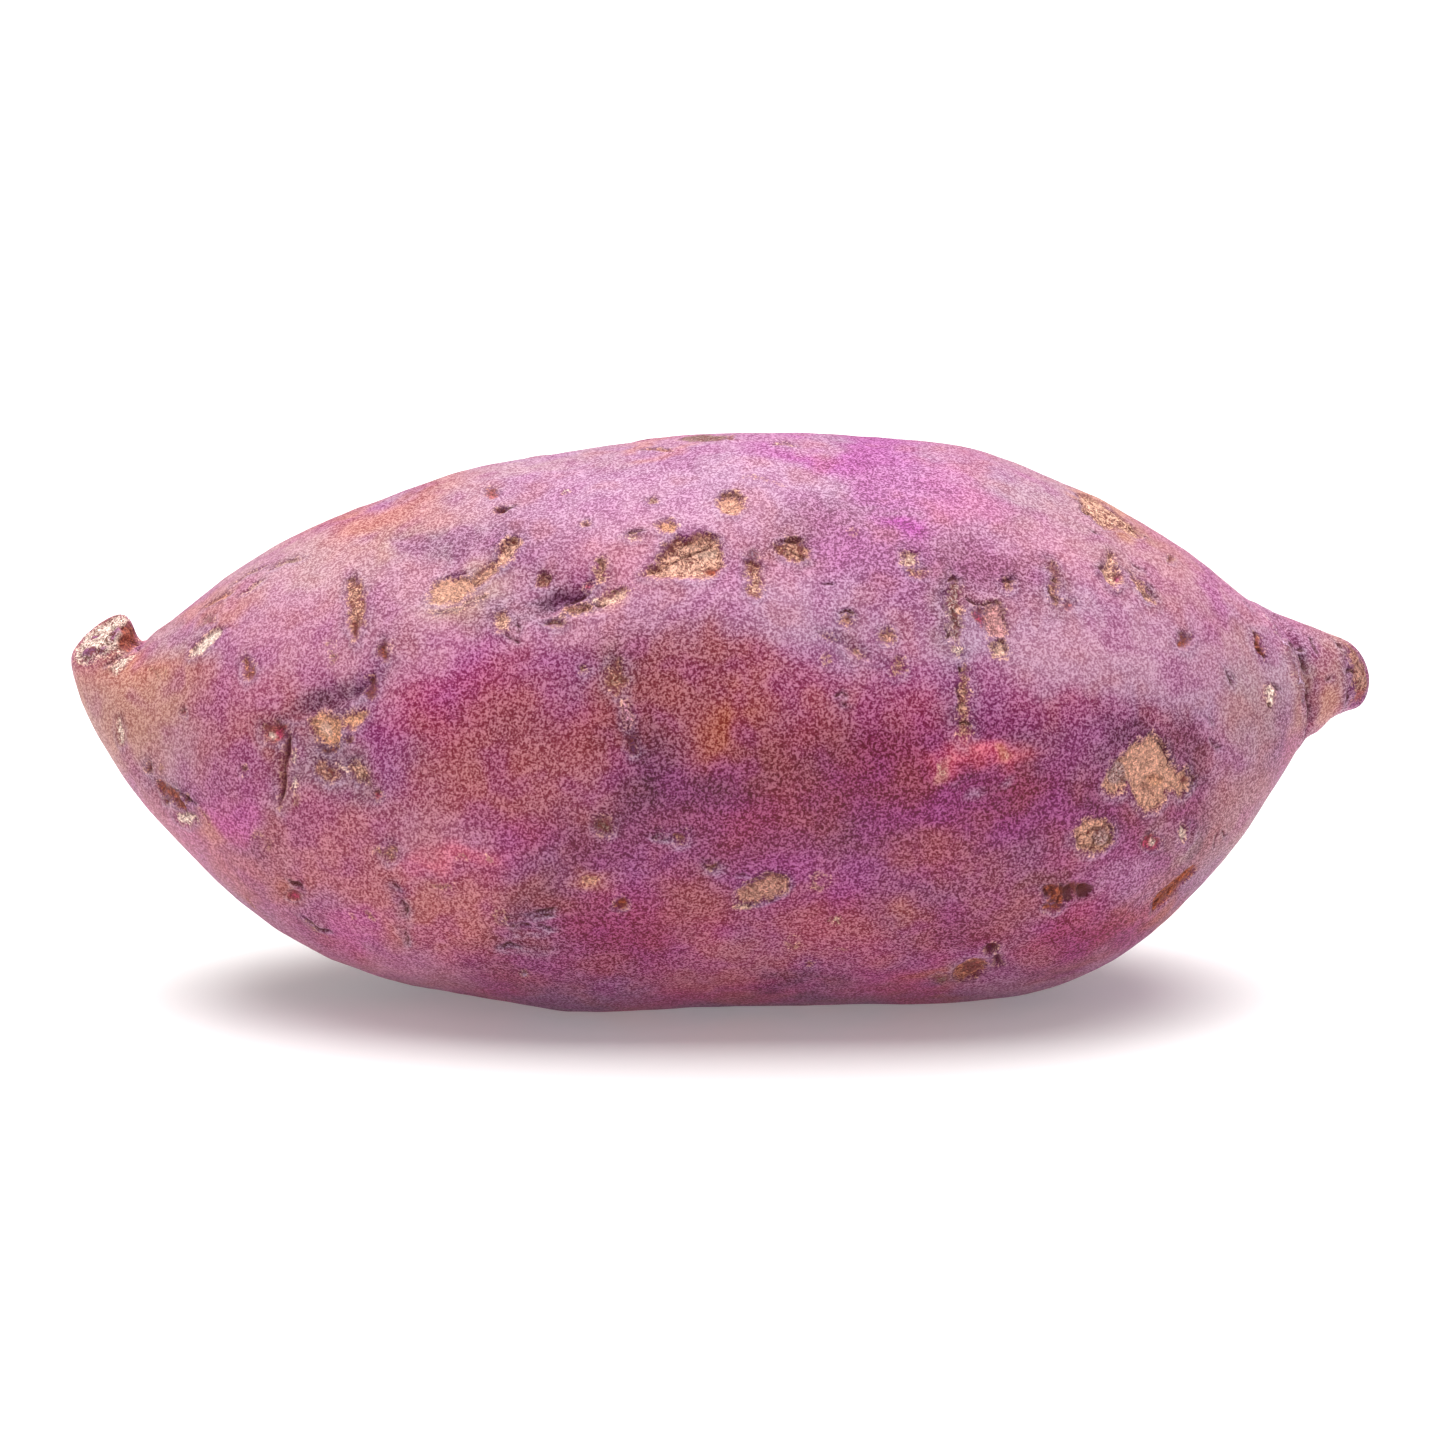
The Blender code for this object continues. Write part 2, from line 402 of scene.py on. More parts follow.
def route_distance(spots, route, half):
    """Millimetres from each spot to the edge of a line that tapers to its ends."""
    steps = np.linalg.norm(np.diff(route, axis=0), axis=1)
    done = np.concatenate([[0], np.cumsum(steps)]) / steps.sum()
    nearest = np.full(len(spots), np.inf)
    for start, end, before, after in zip(route, route[1:], done, done[1:]):
        along = end - start
        share = np.clip((spots - start) @ along / (along @ along), 0, 1)
        gap = np.linalg.norm(spots - start - share[:, None] * along, axis=1)
        way = before + share * (after - before)
        nearest = np.minimum(nearest, gap - half * (1 - np.abs(2 * way - 1) ** 4))
    return nearest


def near_mark(mark, points, normals, margin):
    """Indexes of the points close enough to a mark to be changed by it."""
    reach = np.abs(mark.corners).max() * MARK_REACH + (mark.half or 0) + margin
    outward = np.cross(mark.across, mark.up)
    close = np.linalg.norm(points - mark.middle, axis=1) < reach * MM
    return np.flatnonzero(close & (normals @ outward > MARK_COSINE))


def spots_on(mark, points):
    """Points in millimetres on a mark's plane, wandering as the mark's outline does."""
    offset = (points - mark.middle) / MM
    for seed, (size, share) in enumerate(WANDERS, 1):
        offset += drifts(points, size * MM, seed) * mark.kind.ragged * share
    return np.stack([offset @ mark.across, offset @ mark.up], axis=1)


def gap_of(mark, spots):
    """Millimetres from each spot to the mark's edge, below zero inside it."""
    if mark.half:
        return route_distance(spots, mark.corners, mark.half)
    return outline_distance(spots, mark.corners)


def side_of(mark, spots, gap):
    """1 by the mark's upper edge, -1 by its lower one."""
    step = SIDE_STEP_MM
    rise = step if mark.up[1] + mark.up[2] > 0 else -step
    return np.clip((gap_of(mark, spots + np.array((0, rise))) - gap) / step, -1, 1)


# The broken end of the stalk, by pixels of the photo like all the marks below
STALK_CUT = (
    (76, 646), (90, 631), (104, 621), (116, 615), (128, 617), (134, 629), (138, 644), (124, 652),
    (104, 658), (84, 664), (76, 660))
STALK_CUT_STREAKS = (88, 653, 8, 3, 20), (102, 651, 5, 3, 20), (116, 634, 8, 3, 35), (96, 636, 6, 2, 30)
STALK_CUT_PALE = ((104, 655), (112, 646), (121, 635)), ((82, 662), (88, 661), (96, 658))
STALK_FLANK = (120, 627), (130, 622), (136, 634), (139, 646), (128, 652), (118, 648)
STALK_FLANK_LINE = (131, 639), (137, 646), (141, 651)
STALK_CRACK = (107, 666), (115, 660), (126, 654)
STALK_FLAP = (111, 671), (120, 660), (137, 655), (129, 664), (118, 675)
STALK_DOT = (119, 656, 2.5, 2.5)


def mark_stalk_end():
    """The broken end of the stalk, with its fibres, red flank and torn flap."""
    patches(BREAK, STALK_CUT)
    ovals(STAIN, *STALK_CUT_STREAKS, tone=HEATHER, halo=0)
    lines(FLAKE, 0.25, *STALK_CUT_PALE)
    patches(REDDISH, STALK_FLANK, tone=BRICK)
    lines(CRACK, 0.12, STALK_FLANK_LINE, STALK_CRACK)
    patches(FLAKE, STALK_FLAP)
    ovals(FLAKE, STALK_DOT)


# The skin below the stalk
NECK_SCAR = (190, 658), (205, 643), (223, 629)
NECK_SCAR_SHADE = (210, 621, 7, 4, 35)
NECK_CURLS = ((150, 669), (156, 672), (158, 677)), ((160, 668), (165, 672), (163, 678))
NECK_STREAKS = ((205, 608), (218, 600), (234, 594)),
RIM_STREAKS = (
    ((232, 587), (250, 574), (268, 567)), ((272, 570), (288, 563), (303, 560)), ((242, 595), (264, 582)))
NECK_ROUGH_SPOT = (248, 667, 6, 12, 10)
NECK_RED_DOT = (183, 713, 3, 3)
FLANK_SCAR = (120, 732, 4, 15, 5)
FLANK_PITS = (149, 768, 3, 5), (168, 800, 3, 3), (187, 798, 3, 3), (245, 770, 2.5, 2.5)
FLANK_DASH = (160, 763), (161, 768), (160, 774)
FLANK_ROUGH_BAND = (156, 782), (166, 789), (178, 798), (187, 813)
FLANK_BAND_CRACK = (174, 789), (184, 795), (197, 803)
FLANK_GREY_PATCH = (187, 818, 12, 8, -20)
FLANK_CURVED_CRACK = (202, 810), (208, 817), (211, 826)
FLANK_CURLS = ((252, 837), (257, 832), (262, 836)), ((264, 838), (270, 843), (266, 850))
FLANK_EDGE_CRACK = (246, 897), (251, 903), (254, 908)


def mark_neck():
    """The pale scar and the pits and cracks on the skin below the stalk."""
    lines(FLECK, 1.1, NECK_SCAR, tone=CREAM, crackle=0.1, broken=0.0)
    ovals(STAIN, NECK_SCAR_SHADE, tone=OLIVE)
    lines(SCRATCH, 0.14, *NECK_CURLS)
    lines(FLECK, 0.5, *NECK_STREAKS, tone=SALMON)
    lines(FLECK, 0.28, *RIM_STREAKS, tone=CREAM, crackle=0.2)
    ovals(CRUST, NECK_ROUGH_SPOT, sink=0.2, tone=CLAY, crackle=0.9, broken=0.25)
    ovals(REDDISH, NECK_RED_DOT, tone=CRIMSON)
    ovals(FLECK, FLANK_SCAR, tone=CREAM, crackle=0.2, broken=0.3)
    ovals(PIT, *FLANK_PITS, sink=0.4)
    lines(SCRATCH, 0.2, FLANK_DASH, FLANK_CURVED_CRACK, FLANK_EDGE_CRACK, *FLANK_CURLS)
    lines(CRUST, 1.0, FLANK_ROUGH_BAND, tone=BRICK, rough=0.3)
    lines(CRACK, 0.16, FLANK_BAND_CRACK)
    ovals(FLECK, FLANK_GREY_PATCH, tone=CREAM, broken=0.3)


# The red fissure and the fold on the left
FISSURE_ROUGH = (262, 724), (276, 720), (290, 726), (289, 740), (276, 743), (264, 738)
FISSURE_CHIP = (272, 735, 3.5, 2.5)
FISSURE_RED = (281, 724), (280, 732), (283, 742)
FISSURE = (290, 731), (288, 748), (284, 768), (283, 790), (280, 808)
FISSURE_BRANCH = (296, 794), (297, 800), (296, 807)
FISSURE_CHIPS = ((295, 751), (295, 757), (295, 763)), ((295, 776), (295, 783), (294, 790))
FOLD_CREASE = (286, 719), (317, 705), (340, 699), (358, 690), (377, 673)
FOLD_DEEPEST = (359, 691, 4, 8, -15)
FOLD_ROUGH = (366, 676), (374, 674), (378, 684), (372, 698), (364, 694)
FOLD_DENT = (300, 735), (330, 745), (350, 775), (375, 800)
FOLD_SCAB = (
    (313, 716), (322, 711), (333, 713), (341, 722), (341, 736), (335, 746), (322, 745), (314, 735),
    (310, 724))
FOLD_SCAB_MIDDLE = (325, 728, 6, 8)
FOLD_SCAB_FOOT = (318, 749), (327, 752), (337, 749)
FOLD_SMALL_SCAB = (342, 717), (356, 711), (366, 712), (364, 722), (352, 728), (343, 728)
FOLD_SPOT = (348, 740, 3, 2.5)
FOLD_SPECKLE = (327, 772, 15, 10, -40)
FOLD_BROWN = (358, 771, 14, 9, -40)
FOLD_TAN = (365, 781, 9, 5, -40)
FOLD_SCRATCH = (334, 762), (342, 769), (351, 777)
FOLD_RED_DOT = (377, 795, 4, 4)
FOLD_LIP = (374, 708), (371, 735), (373, 762), (384, 788)
UPRIGHT_SCAR = (353, 577), (355, 592), (358, 608), (356, 624), (357, 641)
UPRIGHT_SCAR_CORE = (354, 619), (357, 630), (355, 641)
FOLD_CURLS = ((324, 645), (332, 641), (336, 648)), ((330, 652), (335, 658), (329, 666))
FOLD_SIDE_SCAR = (384, 651, 5, 13)
FOLD_SIDE_SCAR_CORE = (384, 652, 2.5, 6)


def mark_fold():
    """The folded dip on the left, with its bare patches and red fissure."""
    patches(CRUST, FISSURE_ROUGH, tone=RUSSET, sink=0.15, broken=0.3)
    ovals(FLAKE, FISSURE_CHIP)
    lines(REDDISH, 0.6, FISSURE_RED, tone=CRIMSON)
    lines(PIT, 0.45, FISSURE, sink=0.8, wall=0.6, halo=1.4, broken=0.2)
    lines(SCRATCH, 0.16, FISSURE, FISSURE_BRANCH)
    lines(FLAKE, 0.22, *FISSURE_CHIPS)
    lines(CREASE, 1.2, FOLD_CREASE, sink=0.7)
    ovals(DENT, FOLD_DEEPEST, sink=0.5, wall=1.0, halo=1.0)
    patches(CRUST, FOLD_ROUGH, tone=UMBER)
    lines(DENT, 2.2, FOLD_DENT, sink=0.6, halo=0)
    patches(SCAB, FOLD_SCAB, sink=0.35, tone=OCHRE, crackle=0.08, lean=0.15)
    ovals(TINGE, FOLD_SCAB_MIDDLE, tone=BUFF)
    lines(REDDISH, 0.4, FOLD_SCAB_FOOT, tone=UMBER)
    patches(SCAB, FOLD_SMALL_SCAB, sink=0.2, tone=OCHRE, crackle=0.1, lean=0.1)
    ovals(PIT, FOLD_SPOT, sink=0.3)
    ovals(STAIN, FOLD_SPECKLE, tone=CORK, crackle=0.9)
    ovals(STAIN, FOLD_BROWN, tone=TAN, crackle=0.7)
    ovals(FLECK, FOLD_TAN, broken=0.3)
    lines(SCRATCH, 0.12, FOLD_SCRATCH, tone=CREAM)
    ovals(REDDISH, FOLD_RED_DOT, tone=CRIMSON)
    lines(LIP, 1.4, FOLD_LIP)
    lines(CRUST, 1.25, UPRIGHT_SCAR, tone=FAWN, broken=0.2)
    lines(PIT, 0.35, UPRIGHT_SCAR_CORE, sink=0.3, halo=0)
    lines(SCRATCH, 0.2, *FOLD_CURLS)
    ovals(CRUST, FOLD_SIDE_SCAR, rough=0.25, tone=UMBER)
    ovals(REDDISH, FOLD_SIDE_SCAR_CORE, tone=RUST, halo=0)


# The bare streak and the deep crease on the upper left
STREAK = (
    (428, 592), (436, 583), (447, 577), (462, 576), (474, 579), (480, 585), (468, 594), (456, 602),
    (440, 606), (430, 602))
STREAK_TAIL = (468, 586), (482, 575), (496, 566), (508, 557)
STREAK_LINE = (443, 578), (454, 574), (467, 573)
STREAK_LIP = (430, 613), (458, 609), (485, 595)
STREAK_POCKET = (496, 562), (498, 549), (508, 538), (518, 536), (521, 547), (512, 559), (503, 566)
RED_SPOT = (492, 493, 8, 6)
BLACK_PIT = (501, 510, 6, 4)
BLACK_PIT_TAIL = (504, 511), (510, 509), (516, 506)
PALE_SPOT = (566, 492, 3, 2)
DARK_DOT = (587, 525, 2.5, 2)
CURL_PIT = (544, 580, 7, 8, -30)
SIDE_POCKET = (596, 561), (604, 560), (607, 570), (606, 581), (598, 583), (596, 572)
DEEP_CREASE = (540, 618), (552, 607), (566, 601), (578, 597), (590, 591)
DEEP_CREASE_FLOOR = (563, 603), (574, 600), (584, 597), (592, 594)
CREASE_RED = (590, 586, 5, 5)
CREASE_DOT = (595, 601, 2, 2)
CREASE_TIP = (594, 605), (600, 607), (607, 604)
LAYERED_LEDGE = (564, 617), (566, 608), (578, 605), (592, 606), (590, 614), (576, 618)
LEDGE_LINES = ((566, 613), (577, 611), (588, 611)), ((570, 607), (580, 606), (590, 608))
OLIVE_CURL = (555, 624, 10, 5, 5)
CREASE_GLOW = (597, 603), (614, 598), (632, 590)
CREASE_LIP = (540, 630), (570, 624), (604, 617), (638, 606)
SMALL_SCAR = (501, 621, 8, 10)
SMALL_SCAR_CURLS = ((505, 634), (513, 640), (520, 644)), ((514, 624), (520, 628), (518, 634))
HIGH_STREAK = (634, 537, 9, 4, 5)
HIGH_STREAK_LINE = (625, 534), (634, 532), (645, 531)


def mark_upper_left():
    """The large bare streak, the deep crease and the hollows round it."""
    patches(SCAB, STREAK, tone=FAWN, sink=0.2, edge=0, lean=0.1, crackle=0.1)
    lines(FLECK, 0.9, STREAK_TAIL, tone=FAWN, edge=0)
    lines(CRACK, 0.06, STREAK_LINE)
    lines(FLAKE, 0.2, STREAK_LIP, tone=DUST)
    patches(HOLLOW, STREAK_POCKET, sink=0.6)
    ovals(REDDISH, RED_SPOT, tone=TERRA, sink=0.05, broken=0.3)
    ovals(PIT, BLACK_PIT, tone=WINE, halo=0.3, sink=0.6)
    lines(CRACK, 0.15, BLACK_PIT_TAIL)
    ovals(FLAKE, PALE_SPOT)
    ovals(PIT, DARK_DOT, sink=0.2)
    ovals(CRUST, CURL_PIT, sink=0.5, rough=0.25)
    patches(HOLLOW, SIDE_POCKET, sink=0.6)
    lines(CREASE, 1.4, DEEP_CREASE, sink=0.9, wall=1.3, halo=1.6)
    lines(CRACK, 0.22, DEEP_CREASE_FLOOR, sink=0.5, wall=0.7)
    ovals(REDDISH, CREASE_RED, tone=CRIMSON)
    patches(CRUST, LAYERED_LEDGE, tone=FAWN, sink=0.1, halo=0.3, crackle=0.5, broken=0)
    lines(CRACK, 0.08, *LEDGE_LINES)
    ovals(CRUST, OLIVE_CURL, tone=OLIVE)
    lines(REDDISH, 0.9, CREASE_GLOW, tone=BUFF, crackle=0.05, halo=0)
    lines(CRACK, 0.2, CREASE_TIP)
    ovals(FLAKE, CREASE_DOT)
    lines(LIP, 1.0, CREASE_LIP, sink=-0.3)
    ovals(FLECK, SMALL_SCAR, tone=TAN)
    lines(CRACK, 0.09, *SMALL_SCAR_CURLS)
    ovals(FLECK, HIGH_STREAK)
    lines(CRACK, 0.1, HIGH_STREAK_LINE)


# The hollow and the spots along the top
TOP_HOLLOW = (
    (640, 576), (654, 566), (660, 556), (668, 546), (684, 538), (702, 535), (718, 538), (722, 550),
    (723, 566), (714, 577), (698, 579), (676, 580), (656, 579))
TOP_HOLLOW_RIM = (659, 562), (668, 548), (683, 540), (700, 536), (720, 538)
TOP_HOLLOW_CRACK = (663, 565), (678, 559), (688, 553), (700, 548), (710, 545)
TOP_HOLLOW_FLAKE = (694, 554), (704, 549), (716, 550), (713, 556), (700, 558)
TOP_HOLLOW_RUST = (713, 569, 7, 5)
TOP_HOLLOW_LIP = (640, 584), (670, 587), (700, 586), (726, 580)
TOP_DENT = (716, 500), (722, 494), (734, 492), (744, 497), (744, 508), (734, 516), (722, 514)
TOP_DENT_RIM = (719, 499), (726, 494), (735, 493), (743, 498)
TOP_SPOT = (667, 527, 9, 7)
TOP_SPOT_RIM = (659, 524), (664, 520), (671, 521)
PINK_DENT = (652, 501, 5, 3)
TOP_SCAR = (752, 556), (752, 570), (755, 585), (754, 600)
TOP_SCAR_CAP = (752, 552, 8, 4)
TOP_SCAR_RING = (757, 562, 4, 4)
DARK_SCAB = (777, 546), (788, 537), (800, 538), (809, 548), (808, 560), (800, 564), (789, 560), (779, 554)
DARK_SCAB_LINES = (
    ((779, 542), (789, 539), (799, 541)), ((785, 546), (794, 551), (805, 558)), ((800, 560), (804, 562)))
TOP_SCRATCH = (742, 477), (756, 478), (770, 481), (783, 486)
RIM_SMEAR = (640, 449), (656, 447), (672, 450)
RIM_PALE_SMEAR = (772, 446), (783, 444), (795, 447)
RIM_OLIVE = (705, 438, 30, 3)
RIM_DOT = (731, 438, 2.5, 2)
OLIVE_PATCH = (616, 676, 10, 18)
PALE_STREAK = (623, 699), (627, 712), (629, 730)
PALE_DOT = (584, 669, 3, 4)


def mark_top():
    """The large hollow, the dent and the scars along the top."""
    patches(HOLLOW, TOP_HOLLOW, sink=0.8, wall=1.1, lean=0.25)
    # The dark crust band over the hollow's upper rim is partly painted shade under that rim.
    lines(CRUST, 0.45, TOP_HOLLOW_RIM, tone=FAWN, sink=0.1, edge=0, halo=0.5, crackle=0.9)
    lines(CRACK, 0.10, TOP_HOLLOW_CRACK)
    patches(FLAKE, TOP_HOLLOW_FLAKE, tone=SAND)
    ovals(REDDISH, TOP_HOLLOW_RUST, tone=RUST, halo=0)
    lines(LIP, 0.9, TOP_HOLLOW_LIP, sink=-0.2)
    patches(HOLLOW, TOP_DENT, sink=0.6, tone=FAWN, lean=0.2, crackle=0.2)
    # The dark line over the dent's upper rim is partly painted shade.
    lines(CRACK, 0.08, TOP_DENT_RIM)
    ovals(HOLLOW, TOP_SPOT, sink=0.25, wall=0.6, tone=OCHRE, lean=0.1, edge=0)
    # The dark line over the spot's upper rim is partly painted shade.
    lines(SCRATCH, 0.16, TOP_SPOT_RIM)
    ovals(FLECK, PINK_DENT)
    lines(CRUST, 1.1, TOP_SCAR, tone=TAN, sink=0.25, broken=0.25, halo=0.8)
    ovals(STAIN, TOP_SCAR_CAP)
    rings(REDDISH, 0.2, TOP_SCAR_RING, tone=CLAY, halo=0)
    patches(CRUST, DARK_SCAB, tone=FAWN, sink=0.35, crackle=1.0)
    lines(CRACK, 0.10, *DARK_SCAB_LINES)
    lines(SCRATCH, 0.12, TOP_SCRATCH, tone=PLUM)
    lines(REDDISH, 0.5, RIM_SMEAR, tone=SALMON)
    lines(FLECK, 0.35, RIM_PALE_SMEAR, tone=CREAM)
    ovals(STAIN, RIM_OLIVE, tone=OLIVE, halo=0)
    ovals(PIT, RIM_DOT, sink=0.2)
    ovals(CRUST, OLIVE_PATCH, tone=CORK, sink=0.2, broken=0.3, crackle=1.0)
    lines(FLECK, 0.45, PALE_STREAK, tone=ROSE, sink=-0.08, crackle=0.05)
    ovals(FLECK, PALE_DOT)


# The dashes, the upright scars and the peeled squares right of the middle
DASH_CREASE = (818, 634), (834, 639), (852, 650), (880, 662)
DASHES = ((820, 634), (826, 636), (835, 639)), ((846, 646), (853, 650), (859, 654)), ((858, 655), (866, 658))
DASH_SPOT = (846, 621, 7, 7)
DASH_SPOT_CAP = (838, 614), (846, 611), (855, 616)
DASH_SHINE = (848, 634, 8, 4, -10)
DASH_RING = (827, 659, 3, 5)
RED_DASH = (822, 584), (828, 583), (834, 585)
TINY_RING = (853, 532, 3, 3)
TAN_SPOT = (901, 553), (908, 550), (917, 554), (917, 564), (909, 569), (902, 564)
TAN_SPOT_SHADE = (918, 573, 11, 6, -15)
ROUND_SCAR = (887, 636, 8, 8)
OLIVE_SPOT = (898, 667, 8, 11)
OLIVE_SPOT_DOT = (902, 670, 2.5, 2)
LOW_DASHES = ((836, 697), (841, 693), (846, 696)), ((841, 702), (846, 706))
FIRST_UPRIGHT = (953, 577), (954, 592), (953, 606), (954, 620), (953, 634), (957, 646)
FIRST_UPRIGHT_LINES = (
    ((947, 582), (954, 578), (960, 584)), ((944, 592), (942, 604), (946, 614)),
    ((951, 608), (954, 618), (959, 628)), ((944, 628), (949, 634), (947, 641)))
FIRST_UPRIGHT_CORE = (959, 610, 4, 6)
UPRIGHT_CHIP = (957, 651, 5, 4)
SECOND_UPRIGHT = (963, 661), (964, 678), (963, 694), (964, 710), (965, 728), (963, 744)
SECOND_UPRIGHT_LINES = (
    ((958, 685), (957, 694), (961, 702)), ((957, 706), (964, 704), (972, 707)),
    ((959, 723), (966, 722), (972, 726)), ((958, 666), (961, 671)))
PEELED_SQUARE = (
    (984, 605), (999, 604), (1002, 614), (1004, 624), (1007, 634), (1000, 639), (989, 636), (984, 626))
PEELED_SQUARE_EDGES = (
    ((966, 598), (973, 604), (981, 606)), ((981, 606), (989, 603), (997, 603), (1001, 607)),
    ((1000, 606), (1003, 618), (1007, 629)))
PEELED_SQUARE_LEFT = (985, 608), (983, 620), (986, 632)
PEELED_SQUARE_RED = (975, 606), (978, 618), (983, 630)
PEELED_CORNER = (990, 646), (997, 641), (1004, 645), (1008, 653), (1002, 659), (994, 657)
PEELED_CORNER_EDGE = (996, 640), (1002, 643), (1008, 653)
SHORT_DASH = (1002, 582), (1007, 580), (1012, 582)
SHORT_DASH_TAN = (1008, 585, 8, 8)
HATCHED_SCAR = (1051, 562), (1054, 578), (1054, 594), (1057, 610)
HATCHED_SCAR_LINES = (
    ((1048, 590), (1052, 597), (1053, 603)), ((1053, 596), (1058, 602), (1057, 609)),
    ((1052, 578), (1056, 584)))
HATCHED_SCAR_RED = (1070, 605, 8, 7)


def mark_right_of_middle():
    """The corky upright scars, the peeled squares and the dashes of dark bark."""
    lines(CREASE, 0.6, DASH_CREASE, sink=0.3, halo=0.9)
    lines(SCRATCH, 0.14, *DASHES)
    ovals(FLECK, DASH_SPOT, tone=CORK)
    # DASH_SPOT_CAP, a dark line over the upper rim of the spot, is partly painted shade.
    lines(CRACK, 0.1, DASH_SPOT_CAP, RED_DASH, *LOW_DASHES)
    ovals(LIP, DASH_SHINE, sink=-0.3, wall=0.7)
    rings(SCRATCH, 0.1, DASH_RING, TINY_RING)
    patches(FLECK, TAN_SPOT, crackle=0.2)
    ovals(STAIN, TAN_SPOT_SHADE, tone=CORK)
    ovals(FLECK, ROUND_SCAR, tone=CORK)
    ovals(FLECK, OLIVE_SPOT, tone=CORK, broken=0.3)
    ovals(PIT, OLIVE_SPOT_DOT, sink=0.3)
    lines(CRUST, 1.1, FIRST_UPRIGHT, crackle=0.8, tone=DUST, halo=1.3, broken=0.3)
    lines(CRACK, 0.1, *FIRST_UPRIGHT_LINES)
    ovals(FLECK, FIRST_UPRIGHT_CORE, sink=0, tone=TAN, halo=0, edge=0)
    ovals(FLAKE, UPRIGHT_CHIP)
    lines(CRUST, 0.75, SECOND_UPRIGHT, tone=FAWN, halo=1.4, crackle=0.8)
    lines(CRACK, 0.1, *SECOND_UPRIGHT_LINES)
    patches(SCAB, PEELED_SQUARE, tone=BLUSH, ragged=0.12, halo=0.3, edge=0, lean=0.1, crackle=0.15)
    lines(CRACK, 0.13, *PEELED_SQUARE_EDGES)
    lines(SCRATCH, 0.1, PEELED_SQUARE_LEFT)
    lines(REDDISH, 0.45, PEELED_SQUARE_RED, tone=CRIMSON)
    patches(SCAB, PEELED_CORNER, tone=BUFF, ragged=0.15, halo=0.3, edge=0, lean=0.1, crackle=0.1)
    lines(CRACK, 0.13, PEELED_CORNER_EDGE)
    ovals(FLECK, SHORT_DASH_TAN, tone=CORK, broken=0.35)
    lines(CRACK, 0.12, SHORT_DASH)
    lines(CRUST, 0.7, HATCHED_SCAR, tone=CORK, halo=1.2, broken=0.3)
    lines(CRACK, 0.12, *HATCHED_SCAR_LINES)
    ovals(REDDISH, HATCHED_SCAR_RED, tone=TERRA, sink=0.05, broken=0.5)


# The upper right, towards the tail
RIM_CRUST = (
    (1074, 494), (1092, 498), (1110, 510), (1130, 524), (1148, 538), (1138, 540), (1118, 530),
    (1104, 532), (1094, 522), (1080, 514))
RIM_CRUST_LINES = (
    ((1074, 502), (1079, 505), (1083, 503)), ((1080, 510), (1085, 516), (1090, 513)),
    ((1095, 524), (1102, 528), (1107, 532)), ((1092, 532), (1098, 535)),
    ((1103, 512), (1118, 521), (1133, 531), (1148, 539)), ((1111, 512), (1120, 519), (1127, 524)))
RIM_HOLLOW = (
    (1107, 553), (1114, 556), (1114, 565), (1121, 573), (1122, 583), (1114, 588), (1106, 582), (1101, 572),
    (1106, 564))
RIM_HOLLOW_LIP = (1103, 548), (1099, 560), (1098, 574), (1105, 587), (1116, 592), (1127, 588)
RIM_HOLLOW_DOT = (1100, 570, 3, 2.5)
RIM_HOLLOW_PINK = (1118, 577, 3, 4)
SLANTED_SCAR = (1131, 575), (1140, 586), (1148, 597), (1157, 606)
SLANTED_SCAR_LINES = ((1134, 582), (1141, 592), (1148, 604)), ((1142, 583), (1150, 593), (1158, 601))
SLANTED_HATCH = ((1133, 565), (1139, 570)), ((1142, 569), (1148, 574)), ((1147, 584), (1153, 589))
RIM_TINY_SPOT = (1170, 560, 3, 3)
BROWN_HATCH = (1184, 642, 9, 9, -30)
TWIN_LINES = ((1226, 671), (1229, 678), (1233, 686)), ((1232, 674), (1235, 681))
RIM_TICK = (1244, 602), (1249, 609)
STAR_SCAB = (
    (1153, 733), (1158, 739), (1164, 744), (1167, 754), (1171, 765), (1178, 770), (1187, 768), (1191, 778),
    (1187, 790), (1180, 797), (1173, 790), (1166, 792), (1163, 801), (1156, 810), (1146, 812), (1138, 805),
    (1133, 794), (1129, 784), (1125, 791), (1118, 795), (1108, 795), (1104, 786), (1108, 772), (1114, 762),
    (1122, 755), (1129, 748), (1138, 741), (1146, 739))
STAR_SCAB_GREY = (1118, 773, 9, 13, 20)
STAR_SCAB_DIRT = (1117, 787), (1124, 780), (1131, 784)
STAR_SCAB_ORANGE = (1156, 780, 9, 5)
STAR_SCAB_PALE = (1147, 795, 9, 12)
STAR_SCAB_SPOT = (1184, 781, 4, 4)
STAR_SCAB_EDGES = ((1158, 739), (1165, 750), (1170, 764)), ((1188, 768), (1193, 779), (1189, 791))
RING_SCAR = (
    (1083, 820), (1098, 817), (1108, 821), (1113, 830), (1112, 840), (1104, 848), (1094, 853), (1082, 851),
    (1075, 842), (1074, 831))
RING_SCAR_LOBE = (1101, 836, 9, 8)
RING_SCAR_OUTER = (
    (1085, 833), (1094, 828), (1102, 828), (1108, 824), (1113, 830), (1110, 839), (1103, 846), (1091, 849))
RING_SCAR_INNER = (
    ((1085, 833), (1077, 839), (1080, 845), (1089, 846), (1091, 852)),
    ((1091, 835), (1095, 840), (1092, 846)))
RED_RING_SPOT = (1151, 842, 10, 10)
RED_RING_CHIP = (1152, 842, 3, 3)
CREAM_HOLLOW = (1182, 832, 4, 8)
CREAM_HOLLOW_SHADE = (1190, 822), (1192, 834), (1187, 848)
EDGE_TICKS = ((1218, 833), (1215, 840), (1214, 848)), ((1222, 830), (1226, 838))
BROWN_TICKS = ((1210, 718), (1213, 724)), ((1211, 740), (1216, 747), (1222, 748))


